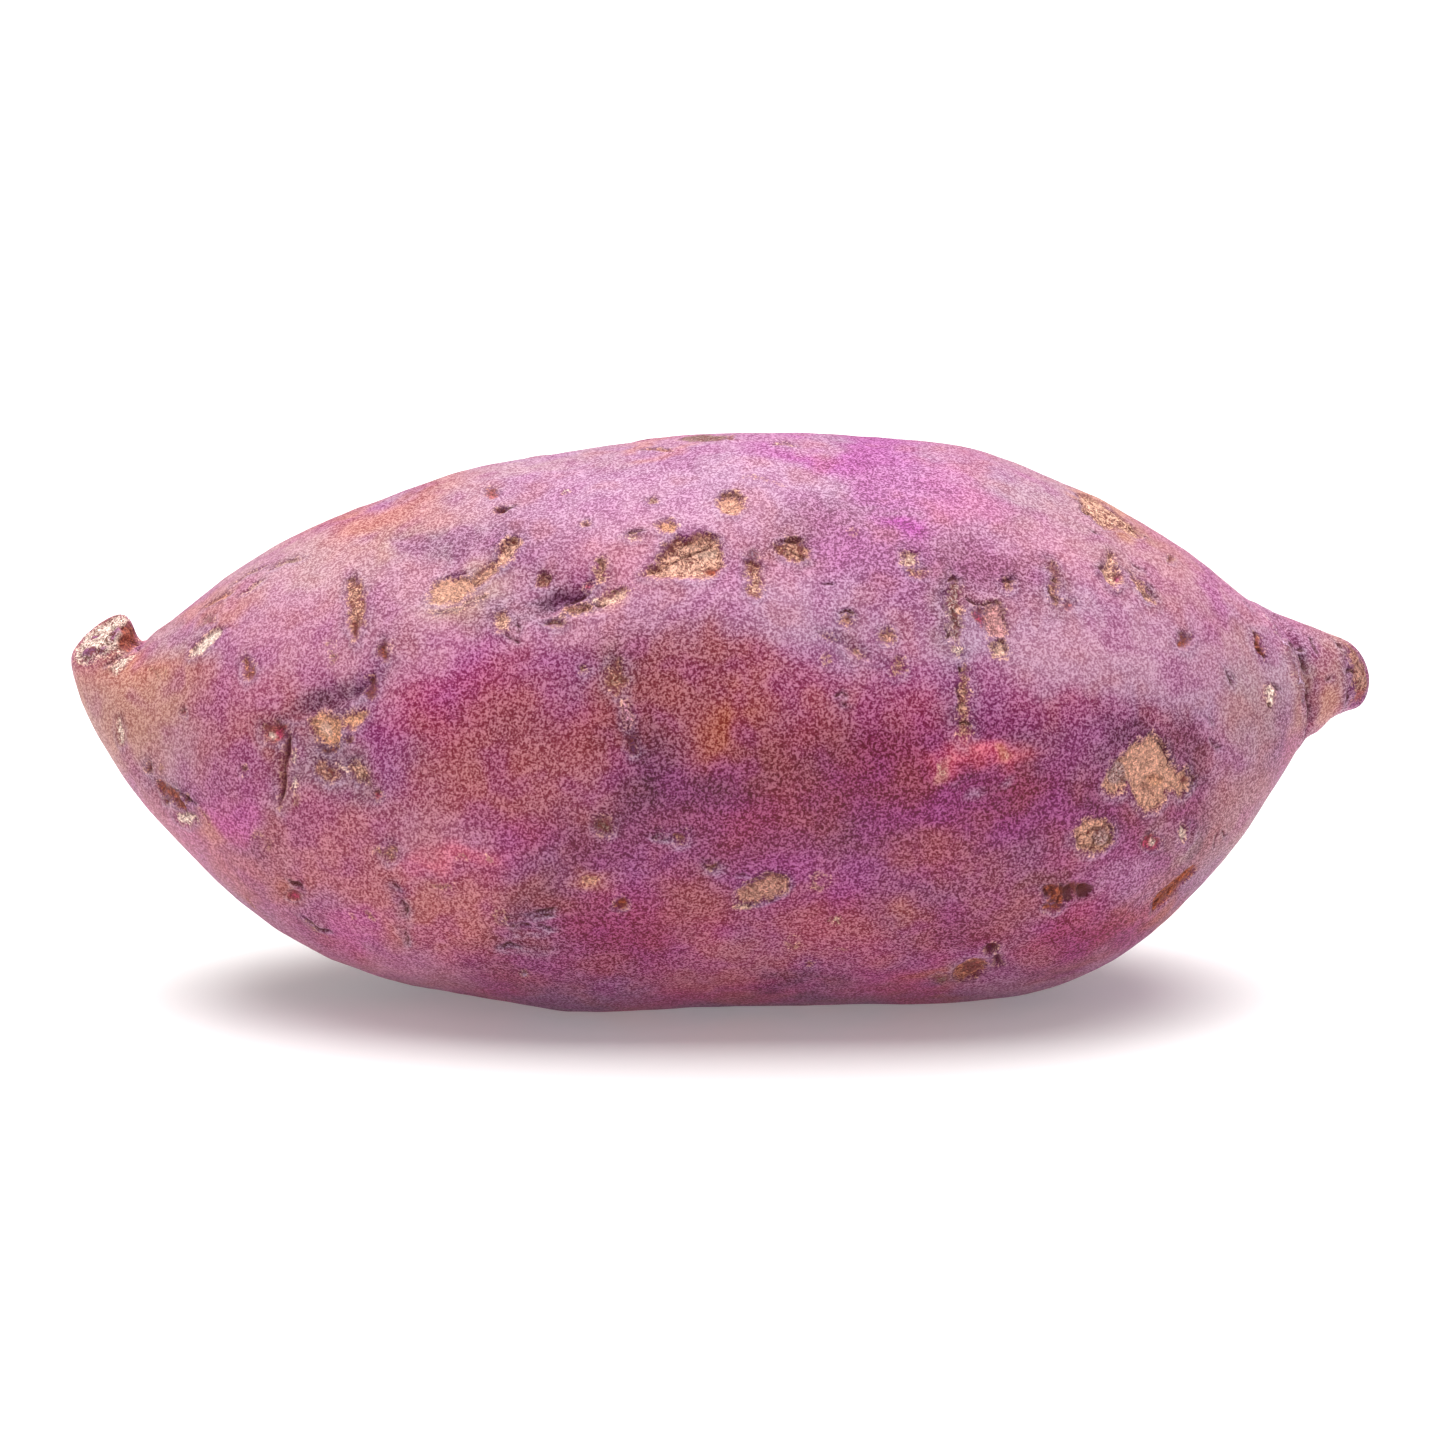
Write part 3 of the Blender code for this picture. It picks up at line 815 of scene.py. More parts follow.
def mark_right():
    """The crusts of the upper right, the star-shaped scab and the ring scar."""
    patches(FLECK, RIM_CRUST, tone=TAN, crackle=0.7, halo=0.3, broken=0.5)
    lines(CRACK, 0.1, *RIM_CRUST_LINES)
    patches(HOLLOW, RIM_HOLLOW, sink=0.4, wall=0.7, tone=TAN, lean=0.2)
    lines(LIP, 0.3, RIM_HOLLOW_LIP, sink=-0.22, wall=0.35)
    ovals(PIT, RIM_HOLLOW_DOT, tone=INK, sink=0.3)
    ovals(REDDISH, RIM_HOLLOW_PINK, tone=MAGENTA, halo=0)
    lines(CRUST, 0.75, SLANTED_SCAR, tone=TAN, crackle=0.5)
    lines(CRACK, 0.1, *SLANTED_SCAR_LINES, *SLANTED_HATCH, *TWIN_LINES, RIM_TICK)
    ovals(PIT, RIM_TINY_SPOT, sink=0.2)
    ovals(CRUST, BROWN_HATCH, tone=RUST, broken=0.4)
    patches(SCAB, STAR_SCAB, tone=FAWN, ragged=0.28, edge=0.06, lean=0.1, crackle=0.12)
    ovals(STAIN, STAR_SCAB_GREY, tone=DUST, halo=0)
    ovals(TINGE, STAR_SCAB_ORANGE, tone=OCHRE)
    ovals(TINGE, STAR_SCAB_PALE, tone=FAWN)
    lines(STAIN, 0.5, STAR_SCAB_DIRT, tone=OLIVE, halo=0)
    ovals(STAIN, STAR_SCAB_SPOT, tone=UMBER, halo=0)
    lines(CRACK, 0.14, *STAR_SCAB_EDGES)
    patches(SCAB, RING_SCAR, tone=FAWN, sink=0.15, lean=0.1, crackle=0.3, edge=0)
    ovals(FLECK, RING_SCAR_LOBE, tone=DUST, sink=-0.1, edge=0, halo=0)
    lines(CRACK, 0.07, RING_SCAR_OUTER, *RING_SCAR_INNER)
    ovals(REDDISH, RED_RING_SPOT, tone=CRIMSON, sink=0.12, broken=0.3)
    ovals(FLAKE, RED_RING_CHIP)
    ovals(HOLLOW, CREAM_HOLLOW, tone=CREAM, sink=0.3, wall=0.5, crackle=0.2)
    lines(CREASE, 0.5, CREAM_HOLLOW_SHADE, sink=0.3, wall=0.6, halo=0.8)
    lines(CRACK, 0.09, *EDGE_TICKS, *BROWN_TICKS)


# The lower right
CORAL_LIP = (936, 774), (960, 762), (985, 756), (1012, 751)
CORAL_SHADE = (955, 784), (985, 780), (1012, 770)
CORAL_ENDS = (942, 772, 7, 10, 20), (1005, 754, 6, 5)
FIBRE_PIT = (1040, 889), (1048, 884), (1060, 883), (1070, 889), (1066, 900), (1056, 907), (1046, 902)
FIBRES = (
    ((1042, 886), (1046, 892), (1046, 898)), ((1050, 886), (1053, 893), (1051, 901)),
    ((1060, 884), (1061, 892), (1056, 901)))
FIBRE_PIT_BLACK = (1067, 893, 4, 8, -20), (1084, 890, 8, 6, 15)
FIBRE_PIT_FOOT = (1052, 907, 10, 5)
PIT_SHADE = (1078, 888, 17, 9)
STREAK_LOW = (1196, 865), (1186, 876), (1174, 887), (1162, 898), (1150, 913)
STREAK_LOW_DARK = (
    ((1188, 873), (1182, 879), (1176, 885)), ((1177, 886), (1171, 891), (1168, 896)),
    ((1163, 897), (1157, 904), (1150, 911)))
TWIN_PITS = (991, 950, 7, 5, 30), (998, 961, 4, 6)
OLIVE_SCAB = (952, 976), (958, 965), (972, 958), (986, 961), (985, 972), (972, 979), (958, 981)
OLIVE_SCAB_CORE = (972, 968, 9, 6, 15)
OLIVE_SMEAR = (941, 979, 8, 5)


def mark_lower_right():
    """The coral swelling, the black pits and the orange streak of the lower right."""
    lines(LIP, 1.4, CORAL_LIP, sink=-0.25, wall=1.6)
    lines(DENT, 1.2, CORAL_SHADE, sink=0.25, wall=1.6)
    ovals(FLECK, *CORAL_ENDS, sink=0.05, broken=0.6, halo=0, edge=0)
    patches(REDDISH, FIBRE_PIT, tone=RUST, sink=0.2, rough=0.3, crackle=0.9, halo=0, broken=0.4)
    lines(CRACK, 0.14, *FIBRES)
    ovals(PIT, PIT_SHADE, tone=UMBER, sink=0.2, broken=0.6, halo=0)
    ovals(PIT, *FIBRE_PIT_BLACK, tone=INK, sink=0.35, halo=0, broken=0.45)
    ovals(REDDISH, FIBRE_PIT_FOOT, tone=RUST, broken=0.3)
    lines(PIT, 2.0, STREAK_LOW, tone=RUST, sink=0.3, broken=0.3, crackle=0.7, halo=0.4)
    lines(CRACK, 0.18, *STREAK_LOW_DARK)
    ovals(PIT, *TWIN_PITS, tone=AUBERGINE)
    patches(CRUST, OLIVE_SCAB, sink=0.2, tone=CLAY)
    ovals(STAIN, OLIVE_SCAB_CORE, tone=UMBER, halo=0)
    ovals(STAIN, OLIVE_SMEAR, tone=OLIVE)


# The middle and the underside
MIDDLE_STAIN = (632, 745, 7, 12)
ROUND_OLIVE = (604, 825, 8, 8)
ROUND_OLIVE_RING = (604, 826, 8, 9)
LOW_TAN_SPOT = (680, 838, 7, 5)
LOW_SLATE_SPOT = (662, 835, 9, 4)
LOW_SLATE_LINE = (652, 837), (661, 839), (670, 840)
CURLED_TAN = (713, 867, 7, 3)
CURLED_TAN_LINES = ((705, 866), (711, 868), (716, 864)), ((712, 870), (718, 868))
LOW_SCAB = (
    (737, 892), (746, 884), (757, 879), (768, 874), (780, 873), (788, 878), (789, 886), (783, 893),
    (770, 898), (757, 903), (744, 903), (737, 899))
LOW_SCAB_EDGES = (
    ((742, 884), (757, 878), (772, 873), (786, 875), (790, 884), (785, 892)),
    ((746, 904), (762, 903), (777, 897)))
LOW_SCAB_FLAKE = (744, 906, 8, 2.5, 5)
LOW_SCAB_LINE = (738, 876), (743, 874), (749, 876)
PLUM_RING = (820, 881, 8, 8)
RED_EYE = (621, 904, 8, 6)
RED_EYE_LINES = ((614, 905), (619, 900), (626, 903)), ((620, 909), (628, 908))
SALMON_SPOT = (590, 880, 11, 8)
LOW_DOT = (809, 963, 3, 2)
LOW_CURLS = ((787, 944), (793, 948), (800, 945)), ((838, 948), (845, 949)), ((790, 937), (797, 938))
LOW_TAN_DOT = (837, 921, 7, 6)
WAVY_CREASES = (
    ((502, 921), (520, 917), (552, 912)), ((508, 935), (530, 930), (556, 927)),
    ((498, 949), (522, 947), (550, 950)))
WAVY_LINES = (
    ((527, 915), (534, 913), (542, 909), (556, 907)), ((534, 917), (543, 914), (553, 914)),
    ((510, 927), (520, 923), (531, 924)), ((500, 947), (510, 943), (521, 947)), ((540, 924), (550, 928)))
SMALL_RING = (501, 917, 6, 6)
WHITE_DOT = (524, 973, 3, 3)
BROKEN_CREASE = (393, 882), (399, 894), (406, 908), (403, 924), (408, 942)
BROKEN_CRACKS = (
    ((393, 882), (400, 890)), ((401, 899), (407, 907), (405, 916)), ((404, 930), (408, 937), (408, 945)))
LEFT_PIT_CRACK = (288, 879), (293, 884), (299, 884), (304, 890)
LEFT_PIT_RED = (293, 895, 8, 5)
LEFT_LOW_CRACK = (301, 915), (310, 922), (318, 929), (331, 932)
LEFT_LOW_BRANCH = (306, 921), (316, 932), (326, 937)
LEFT_TICKS = (
    ((362, 912), (369, 915), (374, 920)), ((351, 915), (356, 921)), ((430, 886), (443, 887), (455, 886)))
LEFT_CURL = (374, 855), (379, 850), (384, 856)
LEFT_OLIVE = (390, 853, 7, 9)
SMALL_CURLS = ((459, 858), (464, 853), (467, 860)), ((487, 858), (493, 862))


def mark_underside():
    """The scab and the small cracks and wrinkles of the middle and the underside."""
    ovals(STAIN, MIDDLE_STAIN, tone=DUSK)
    ovals(CRUST, ROUND_OLIVE, tone=OLIVE, broken=0.2)
    rings(SCRATCH, 0.15, ROUND_OLIVE_RING, PLUM_RING, tone=AUBERGINE)
    ovals(CRUST, LOW_TAN_SPOT, broken=0.2)
    ovals(STAIN, LOW_SLATE_SPOT)
    ovals(CRUST, CURLED_TAN)
    patches(SCAB, LOW_SCAB, tone=CORK, sink=0.14, ragged=0.15, halo=0.7, edge=0)
    lines(CRACK, 0.08, *LOW_SCAB_EDGES, LOW_SCAB_LINE, LOW_SLATE_LINE, *CURLED_TAN_LINES)
    ovals(FLAKE, LOW_SCAB_FLAKE, tone=SAND)
    ovals(REDDISH, RED_EYE, sink=0.3, tone=RUST)
    lines(SCRATCH, 0.16, *RED_EYE_LINES, *LOW_CURLS)
    ovals(FLECK, SALMON_SPOT, tone=SALMON, crackle=0.1, sink=0.05, halo=0, broken=0.5)
    ovals(FLECK, LOW_TAN_DOT, broken=0.4, halo=0)
    ovals(PIT, LOW_DOT, sink=0.3)
    lines(CREASE, 0.5, *WAVY_CREASES, sink=0.28, halo=0.6)
    lines(CRACK, 0.14, *WAVY_LINES)
    rings(SCRATCH, 0.12, SMALL_RING)
    ovals(FLAKE, WHITE_DOT, tone=LILAC)
    lines(CREASE, 0.5, BROKEN_CREASE, sink=0.4, halo=0.7)
    lines(CRACK, 0.14, *BROKEN_CRACKS)
    lines(CRACK, 0.24, LEFT_PIT_CRACK, LEFT_LOW_CRACK, sink=0.5)
    lines(SCRATCH, 0.2, LEFT_LOW_BRANCH, *LEFT_TICKS, LEFT_CURL, *SMALL_CURLS)
    ovals(REDDISH, LEFT_PIT_RED, tone=CRIMSON, broken=0.3)
    ovals(CRUST, LEFT_OLIVE, broken=0.35)


# The tail
TAIL_LIP = (1252, 604), (1272, 626), (1288, 654), (1298, 684), (1300, 720)
TAIL_CREASE = (1268, 607), (1287, 630), (1301, 660), (1308, 692), (1309, 722), (1303, 743)
TAIL_CREASE_LINES = (
    ((1288, 642), (1290, 647), (1292, 651)), ((1300, 654), (1303, 662), (1307, 671)),
    ((1307, 690), (1308, 704), (1310, 720)), ((1305, 727), (1302, 741)))
TAIL_SLATE_LINE = (1296, 683), (1299, 697), (1301, 708)
BARK_SCAR = (1253, 630), (1257, 643), (1264, 658)
BARK_SCAR_DASHES = (
    ((1254, 634), (1256, 637)), ((1254, 642), (1258, 645)), ((1256, 648), (1262, 651)),
    ((1259, 653), (1265, 657)))
CREAM_CHIP = (1268, 684), (1273, 691), (1272, 700), (1270, 708), (1266, 703), (1264, 692)
CREAM_CHIP_SLASH = (1271, 684), (1275, 688), (1280, 691)
CREAM_CHIP_FOOT = (1266, 702), (1269, 708)
TAIL_SLITS = ((1310, 639), (1313, 648), (1316, 655)), ((1299, 648), (1303, 652)), ((1325, 680), (1332, 678))
CAP_LINE = (1334, 640), (1343, 656), (1348, 676), (1348, 696), (1344, 709)
CAP_SLITS = (
    ((1345, 672), (1351, 670), (1356, 673)), ((1347, 690), (1348, 697), (1346, 703)),
    ((1336, 644), (1342, 648)))
TAIL_CAP = (
    (1338, 637), (1352, 641), (1364, 655), (1370, 672), (1370, 688), (1364, 702), (1354, 708), (1346, 706),
    (1350, 690), (1349, 672), (1344, 654))
CAP_BLUSH = (1361, 697, 8, 7, 40)


def mark_tail():
    """The lip where the body ends, with a painted highlight along it, and the cracked skin and cut tip of
    the tail.
    """
    lines(LIP, 1.2, TAIL_LIP, sink=-0.35)
    # A pale lilac band along the lip: painted highlight on its lit edge.
    lines(STAIN, 0.5, TAIL_LIP, tone=LILAC, halo=0, broken=0.3)
    lines(CREASE, 0.7, TAIL_CREASE, sink=0.7, wall=0.9)
    lines(CRACK, 0.16, *TAIL_CREASE_LINES)
    lines(SCRATCH, 0.12, TAIL_SLATE_LINE, tone=SLATE)
    lines(CRUST, 0.8, BARK_SCAR, tone=RUST, crackle=0.6)
    lines(CRACK, 0.2, *BARK_SCAR_DASHES)
    patches(FLAKE, CREAM_CHIP, ragged=0.1)
    lines(CRACK, 0.16, CREAM_CHIP_SLASH, CREAM_CHIP_FOOT)
    lines(CRACK, 0.12, *TAIL_SLITS)
    patches(BREAK, TAIL_CAP, tone=CORK, crackle=0.6, rough=0.35, broken=0.7)
    lines(CREASE, 0.4, CAP_LINE, sink=0.4, halo=0.6)
    lines(CRACK, 0.16, *CAP_SLITS)
    ovals(STAIN, CAP_BLUSH, tone=TERRA, halo=0)


def place_seen_marks():
    """All marks that the photo shows; where two overlap, the later one gives the colour."""
    for place_region in (mark_stalk_end, mark_neck, mark_fold, mark_upper_left, mark_top,
                         mark_right_of_middle, mark_right, mark_lower_right, mark_underside, mark_tail):
        place_region()


# Scars on the sides that the photo doesn't show

# How many there are, their kind, whether each is a line, the share that stands across the root,
# and the least and most half length and half width in millimetres
HIDDEN_SCARS = (
    (9, SCAB, False, 0.2, 1.2, 3.6, 0.9, 2.2),
    (14, FLECK, False, 0.3, 0.6, 2.2, 0.4, 1.0),
    (10, CRUST, False, 0.7, 1.2, 4.5, 0.5, 1.1),
    (8, HOLLOW, False, 0.2, 1.2, 3.2, 0.9, 1.8),
    (10, PIT, False, 0.2, 0.4, 1.1, 0.3, 0.7),
    (9, REDDISH, False, 0.3, 0.6, 1.8, 0.5, 1.1),
    (8, STAIN, False, 0.3, 1.0, 2.6, 0.7, 1.6),
    (18, CRACK, True, 0.5, 0.8, 2.8, 0.10, 0.18),
    (6, CREASE, True, 0.3, 3.0, 7.0, 0.6, 1.1),
)
HIDDEN_SEED = 4

# The gap kept between them, tries to keep it, spread of their turns in radians, corners of a
# patch, and where the points of a line are, as shares of its half length
HIDDEN_GAP_MM = 4.5
HIDDEN_TRIES = 30
HIDDEN_SWING = 0.4
HIDDEN_CORNERS = 11
HIDDEN_LINE = (-1.0, -0.4, 0.3, 1.0)

# Hidden places lie between these ends of the root and above this height, where the normal points
# away from the camera. Rays find them from this far out, towards a line at the middle's height
ROOT_ENDS = (-0.078, 0.076)
LOWEST_PLACE = 1.5 * MM
TURNED_AWAY = -0.02
RAY_START = 0.1
MIDDLE_HEIGHT = 0.036


def hidden_place(draw):
    """A random place on the body that the photo doesn't show, with its normal."""
    while True:
        along = draw.uniform(*ROOT_ENDS)
        around = draw.uniform(-math.pi, math.pi)
        start = Vector((along, RAY_START * math.cos(around), MIDDLE_HEIGHT + RAY_START * math.sin(around)))
        aim = Vector((along, 0, MIDDLE_HEIGHT)) - start
        place, normal, _, _ = surface.ray_cast(start, aim.normalized())
        if place and place.z > LOWEST_PLACE and normal.dot(camera_place() - place) < TURNED_AWAY:
            return place, normal


def free_place(draw, taken):
    """A hidden place that isn't too close to those taken, if one of the tries finds it."""
    for _ in range(HIDDEN_TRIES):
        place, normal = hidden_place(draw)
        if all((place - other).length > HIDDEN_GAP_MM * MM for other in taken):
            break
    taken.append(place)
    return place, normal


def place_hidden_marks():
    """Seeded scars of the kinds that the photo shows, some along the root and some across it."""
    draw = random.Random(HIDDEN_SEED)
    taken = []
    for count, kind, is_line, upright, long_low, long_high, short_low, short_high in HIDDEN_SCARS:
        for _ in range(count):
            place, normal = free_place(draw, taken)
            long = draw.uniform(long_low, long_high)
            short = draw.uniform(short_low, short_high)
            turn = draw.gauss(0.0, HIDDEN_SWING) + (math.pi / 2 if draw.random() < upright else 0)
            level = Vector((1, 0, 0))
            across = (level - normal * level.dot(normal)).normalized()
            side = across * math.cos(turn) + normal.cross(across) * math.sin(turn)
            cross = normal.cross(side)
            if is_line:
                spots = [side * (long * step) + cross * draw.uniform(-0.25, 0.25) * long
                         for step in HIDDEN_LINE]
            else:
                angles = [2 * math.pi * step / HIDDEN_CORNERS for step in range(HIDDEN_CORNERS)]
                spots = [(side * (long * math.cos(angle)) + cross * (short * math.sin(angle)))
                         * draw.uniform(0.75, 1.2) for angle in angles]
            places = [place + spot * MM for spot in spots]
            add_mark(kind, places, [normal] * len(places), short if is_line else None)


# Relief and colours at the points

# Where no mark is near: the distance to one, and the share of cracks in what it would lay bare
FAR_MM = 3.0
PLAIN_CRACKLE = 0.3

# How far a mark works past its edge, and how softly its colour starts there
HALO_REACH = 2.5
LIP_REACH_MM = 1.5
TONE_FADE_MM = 0.3

# The lip round a mark, and the size of the grain inside it
LIP_PLACE_MM = 0.45
LIP_WIDTH_MM = 0.40
ROUGH_SIZE = 0.9 * MM


def press_marks(points, normals, tint):
    """Heights in metres that the marks give, and the fields that the material reads."""
    height = np.zeros(len(points))
    bare = np.full(len(points), FAR_MM)
    crack = np.full(len(points), FAR_MM)
    tone = np.tile(np.append(TAN, PLAIN_CRACKLE), (len(points), 1))
    for mark in marks:
        kind = mark.kind
        index = near_mark(mark, points, normals, kind.halo * HALO_REACH + LIP_REACH_MM)
        if not len(index):
            continue
        here = points[index]
        spots = spots_on(mark, here)
        gap = gap_of(mark, spots)
        side = side_of(mark, spots, gap)
        height[index] += lift_of(kind, gap, side, here) * MM
        if kind.halo:
            tint[index] = shade_round(kind, gap, side, here, tint[index])
        if kind.tone is INK:
            crack[index] = np.minimum(crack[index], gap)
        elif kind.tone is not None:
            cover = smooth_step((TONE_FADE_MM - gap) / (2 * TONE_FADE_MM))[:, None]
            tone[index] += (bare_tone(kind, gap, side) - tone[index]) * cover
            bare[index] = np.minimum(bare[index], gap + kind.broken)
        if kind.edge:
            # The dark outline breaks at random and thins by the lower edge, so it is darker along the upper
            # edge: partly painted shade.
            breaks_and_shade = 0.12 + 0.28 * waves(here, 1.4 * MM, 8.0) + 0.11 * (1 - side)
            crack[index] = np.minimum(crack[index], np.abs(gap) - kind.edge + breaks_and_shade)
    return height, bare, crack, tone


def lift_of(kind, gap, side, here):
    """Millimetres by which a mark lifts the skin: less inside it, more on the lip round it."""
    inside = smooth_step((0.12 - gap) / kind.wall)
    lift = -kind.sink * inside * (1 + kind.lean * side * np.exp(-np.abs(gap + 0.5) / 1.2))
    lift += kind.rim * np.exp(-((gap - LIP_PLACE_MM) / LIP_WIDTH_MM) ** 2) * (1.0 - 0.4 * side)
    return lift + kind.rough * inside * waves(here, ROUGH_SIZE, 3.0)


def shade_round(kind, gap, side, here, tint):
    """The skin's colour round a mark: a purple halo, darker over its upper edge as painted shade, and paler
    under its lower one as painted light on the lip.
    """
    outside = np.exp(-(np.maximum(gap, 0) / kind.halo) ** 2) * (0.75 + 0.5 * waves(here, 1.6 * MM, 6.0))
    # Purple halo, deepened over the upper edge: painted shade.
    tint = tint + (DUSK - tint) * (outside * (0.30 + 0.24 * side))[:, None]
    # Pink on the lower lip: painted light.
    lip = np.exp(-((gap / kind.halo - 0.5) / 0.5) ** 2) * (1 - side) * 0.20
    return tint + (PINK - tint) * lip[:, None]


def bare_tone(kind, gap, side):
    """Colour and crackle of what a mark lays bare, with painted shade under its upper edge."""
    # Painted shade: the bare floor turns towards dark bark, with more dark cracks, under the mark's upper
    # edge, where its wall would shade it.
    shade = np.exp(-((gap + 0.15) / 0.55) ** 2) * smooth_step(side) * kind.lean * 1.8
    shaded_tone = kind.tone + (BARK - kind.tone) * np.clip(shade, 0, 0.75)[:, None]
    return np.concatenate([shaded_tone, np.clip(kind.crackle + shade * 0.4, 0, 1)[:, None]], axis=1)


def swells(points):
    """Heights in metres of the skin's own swells, away from any mark."""
    height = np.zeros(len(points))
    for seed, (size, tall) in enumerate(SWELLS_MM):
        height += waves(points, size * MM, 20.0 + seed) * tall * MM
    return height


# Washes of colour laid on the side that the photo shows: colour, strength, middle, half
# width and half height in pixels, and maybe a turn in degrees
GROUND_WASHES = (
    # The pink and rose washes over the upper body on this line are partly painted sheen of the overhead lamp
    # on the top.
    (PINK, 0.75, 700, 478, 430, 62), (ROSE, 0.70, 700, 570, 600, 66), (MAUVE, 0.45, 700, 650, 600, 50),
    (PLUM, 0.35, 760, 830, 430, 120), (ROSE, 0.35, 275, 830, 130, 130), (UMBER, 0.45, 680, 655, 130, 48),
    (HEATHER, 0.62, 895, 545, 150, 66), (PLUM, 0.35, 1020, 790, 210, 80), (PLUM, 0.25, 920, 905, 120, 45),
    (ROSE, 0.30, 330, 960, 120, 40), (DUST, 0.26, 240, 740, 170, 80), (PLUM, 0.22, 800, 750, 110, 26),
    (ROSE, 0.50, 400, 978, 90, 22), (DUST, 0.35, 1050, 495, 95, 32), (DUST, 0.30, 445, 488, 60, 20),
    (LILAC, 0.35, 1240, 590, 50, 22), (LILAC, 0.35, 280, 580, 60, 22), (LILAC, 0.30, 195, 640, 45, 26))
LEFT_WASHES = (
    (SALMON, 0.70, 105, 690, 48, 55), (DUST, 0.30, 112, 720, 40, 50), (CLAY, 0.70, 155, 690, 48, 42),
    (CLAY, 0.55, 140, 740, 42, 30), (RUSSET, 0.60, 118, 622, 20, 9), (DUST, 0.50, 178, 640, 28, 26),
    (CLAY, 0.70, 222, 601, 32, 12, 25), (DUST, 0.60, 275, 570, 50, 22, 25),
    (DUST, 0.50, 345, 560, 60, 30, 10), (ROSE, 0.62, 302, 635, 95, 66), (MAGENTA, 0.30, 235, 700, 50, 26),
    (RUSSET, 0.60, 340, 524, 28, 10, 25), (CLAY, 0.45, 405, 517, 72, 20, 22),
    (MAGENTA, 0.45, 205, 728, 24, 30), (MAGENTA, 0.40, 232, 768, 34, 44), (FUCHSIA, 0.75, 240, 818, 24, 22),
    (ROSE, 0.50, 178, 760, 30, 34), (HEATHER, 0.55, 140, 758, 14, 13), (DUST, 0.35, 155, 722, 80, 46),
    (SLATE, 0.55, 332, 774, 32, 32), (RUSSET, 0.65, 284, 764, 12, 58), (RUSSET, 0.45, 258, 738, 22, 18),
    # The dusk wash at 346, 694 on this line is painted shade in the fold's crease.
    (DUSK, 0.55, 346, 694, 50, 10, 22), (VIOLET, 0.48, 380, 742, 26, 52), (TERRA, 0.55, 345, 855, 90, 48),
    (ROSE, 0.45, 440, 846, 56, 36), (CORAL, 0.45, 445, 868, 50, 12, 10), (PLUM, 0.45, 268, 846, 24, 18),
    (TERRA, 0.50, 238, 876, 30, 20), (CLAY, 0.55, 214, 838, 14, 18), (RUST, 0.60, 296, 886, 20, 13),
    (CLAY, 0.50, 430, 915, 75, 32), (FUCHSIA, 0.50, 355, 936, 30, 14), (WINE, 0.55, 316, 926, 22, 8, -35))
UPPER_LEFT_WASHES = (
    (RUSSET, 0.55, 415, 496, 34, 9, 15), (CLAY, 0.45, 388, 530, 40, 18, 12),
    (TERRA, 0.45, 450, 478, 60, 12, 14), (SLATE, 0.60, 450, 536, 62, 26, 8), (SAND, 0.50, 384, 560, 12, 8),
    # The dusk wash at 516, 542 on this line is painted shadow over the upper left of the bare pocket.
    (SAND, 0.60, 462, 588, 52, 16, 20), (DUSK, 0.60, 516, 542, 22, 16, 30),
    (HEATHER, 0.60, 540, 535, 48, 60), (MAUVE, 0.60, 650, 495, 120, 45), (DUST, 0.45, 560, 462, 70, 9, 6),
    (HEATHER, 0.35, 640, 464, 60, 12), (LILAC, 0.15, 400, 580, 70, 24), (CLAY, 0.50, 662, 447, 34, 7, 2),
    # The dusk wash at 572, 600 on this line is painted shadow in the deep crease.
    (SLATE, 0.45, 482, 606, 36, 22, 20), (DUSK, 0.75, 572, 600, 46, 11, 12),
    (SLATE, 0.60, 520, 634, 30, 16), (SALMON, 0.50, 612, 600, 22, 8, 15), (ROSE, 0.65, 430, 628, 30, 24),
    (FUCHSIA, 0.40, 470, 664, 60, 38), (MULBERRY, 0.50, 482, 668, 44, 30),
    (ROSE, 0.55, 545, 640, 64, 14, 18), (MAUVE, 0.62, 690, 612, 108, 28), (MAGENTA, 0.55, 455, 702, 64, 38),
    (ROSE, 0.45, 405, 655, 24, 30), (HEATHER, 0.50, 560, 684, 40, 30), (OLIVE, 0.50, 616, 678, 24, 28),
    (PLUM, 0.26, 675, 665, 84, 46), (UMBER, 0.30, 634, 715, 44, 50), (AUBERGINE, 0.16, 665, 715, 90, 52),
    (ROSE, 0.40, 368, 690, 40, 24))
MIDDLE_WASHES = (
    (RUSSET, 0.55, 505, 738, 76, 56), (TERRA, 0.60, 470, 785, 60, 38), (RUST, 0.35, 600, 735, 30, 30),
    (DUSK, 0.55, 648, 752, 22, 42), (PLUM, 0.65, 600, 838, 58, 40), (AUBERGINE, 0.55, 655, 792, 52, 26),
    (RUSSET, 0.58, 690, 692, 62, 52), (RUST, 0.70, 728, 735, 34, 28, 60), (TERRA, 0.45, 560, 785, 50, 38),
    (MAGENTA, 0.45, 520, 836, 34, 24), (PLUM, 0.55, 705, 850, 50, 52), (VIOLET, 0.45, 645, 872, 38, 26),
    (CLAY, 0.55, 594, 880, 20, 12), (RUSSET, 0.60, 690, 902, 50, 24), (UMBER, 0.60, 540, 902, 40, 18),
    (UMBER, 0.50, 508, 942, 40, 18), (WINE, 0.75, 612, 940, 60, 40), (PLUM, 0.55, 498, 972, 56, 14),
    (TERRA, 0.55, 722, 962, 66, 26), (RUST, 0.45, 757, 730, 28, 62), (RUSSET, 0.38, 845, 712, 72, 38),
    (UMBER, 0.45, 800, 762, 56, 34), (AUBERGINE, 0.55, 720, 794, 46, 24), (WINE, 0.45, 786, 826, 50, 28),
    (PLUM, 0.50, 862, 832, 56, 26), (VIOLET, 0.50, 808, 872, 92, 20), (TERRA, 0.45, 832, 934, 60, 30),
    # The dusk wash at 790, 988 on this line is painted shade along the bottom edge, where the body meets the
    # floor.
    (DUSK, 0.55, 790, 988, 44, 7), (TERRA, 0.35, 800, 680, 56, 26))
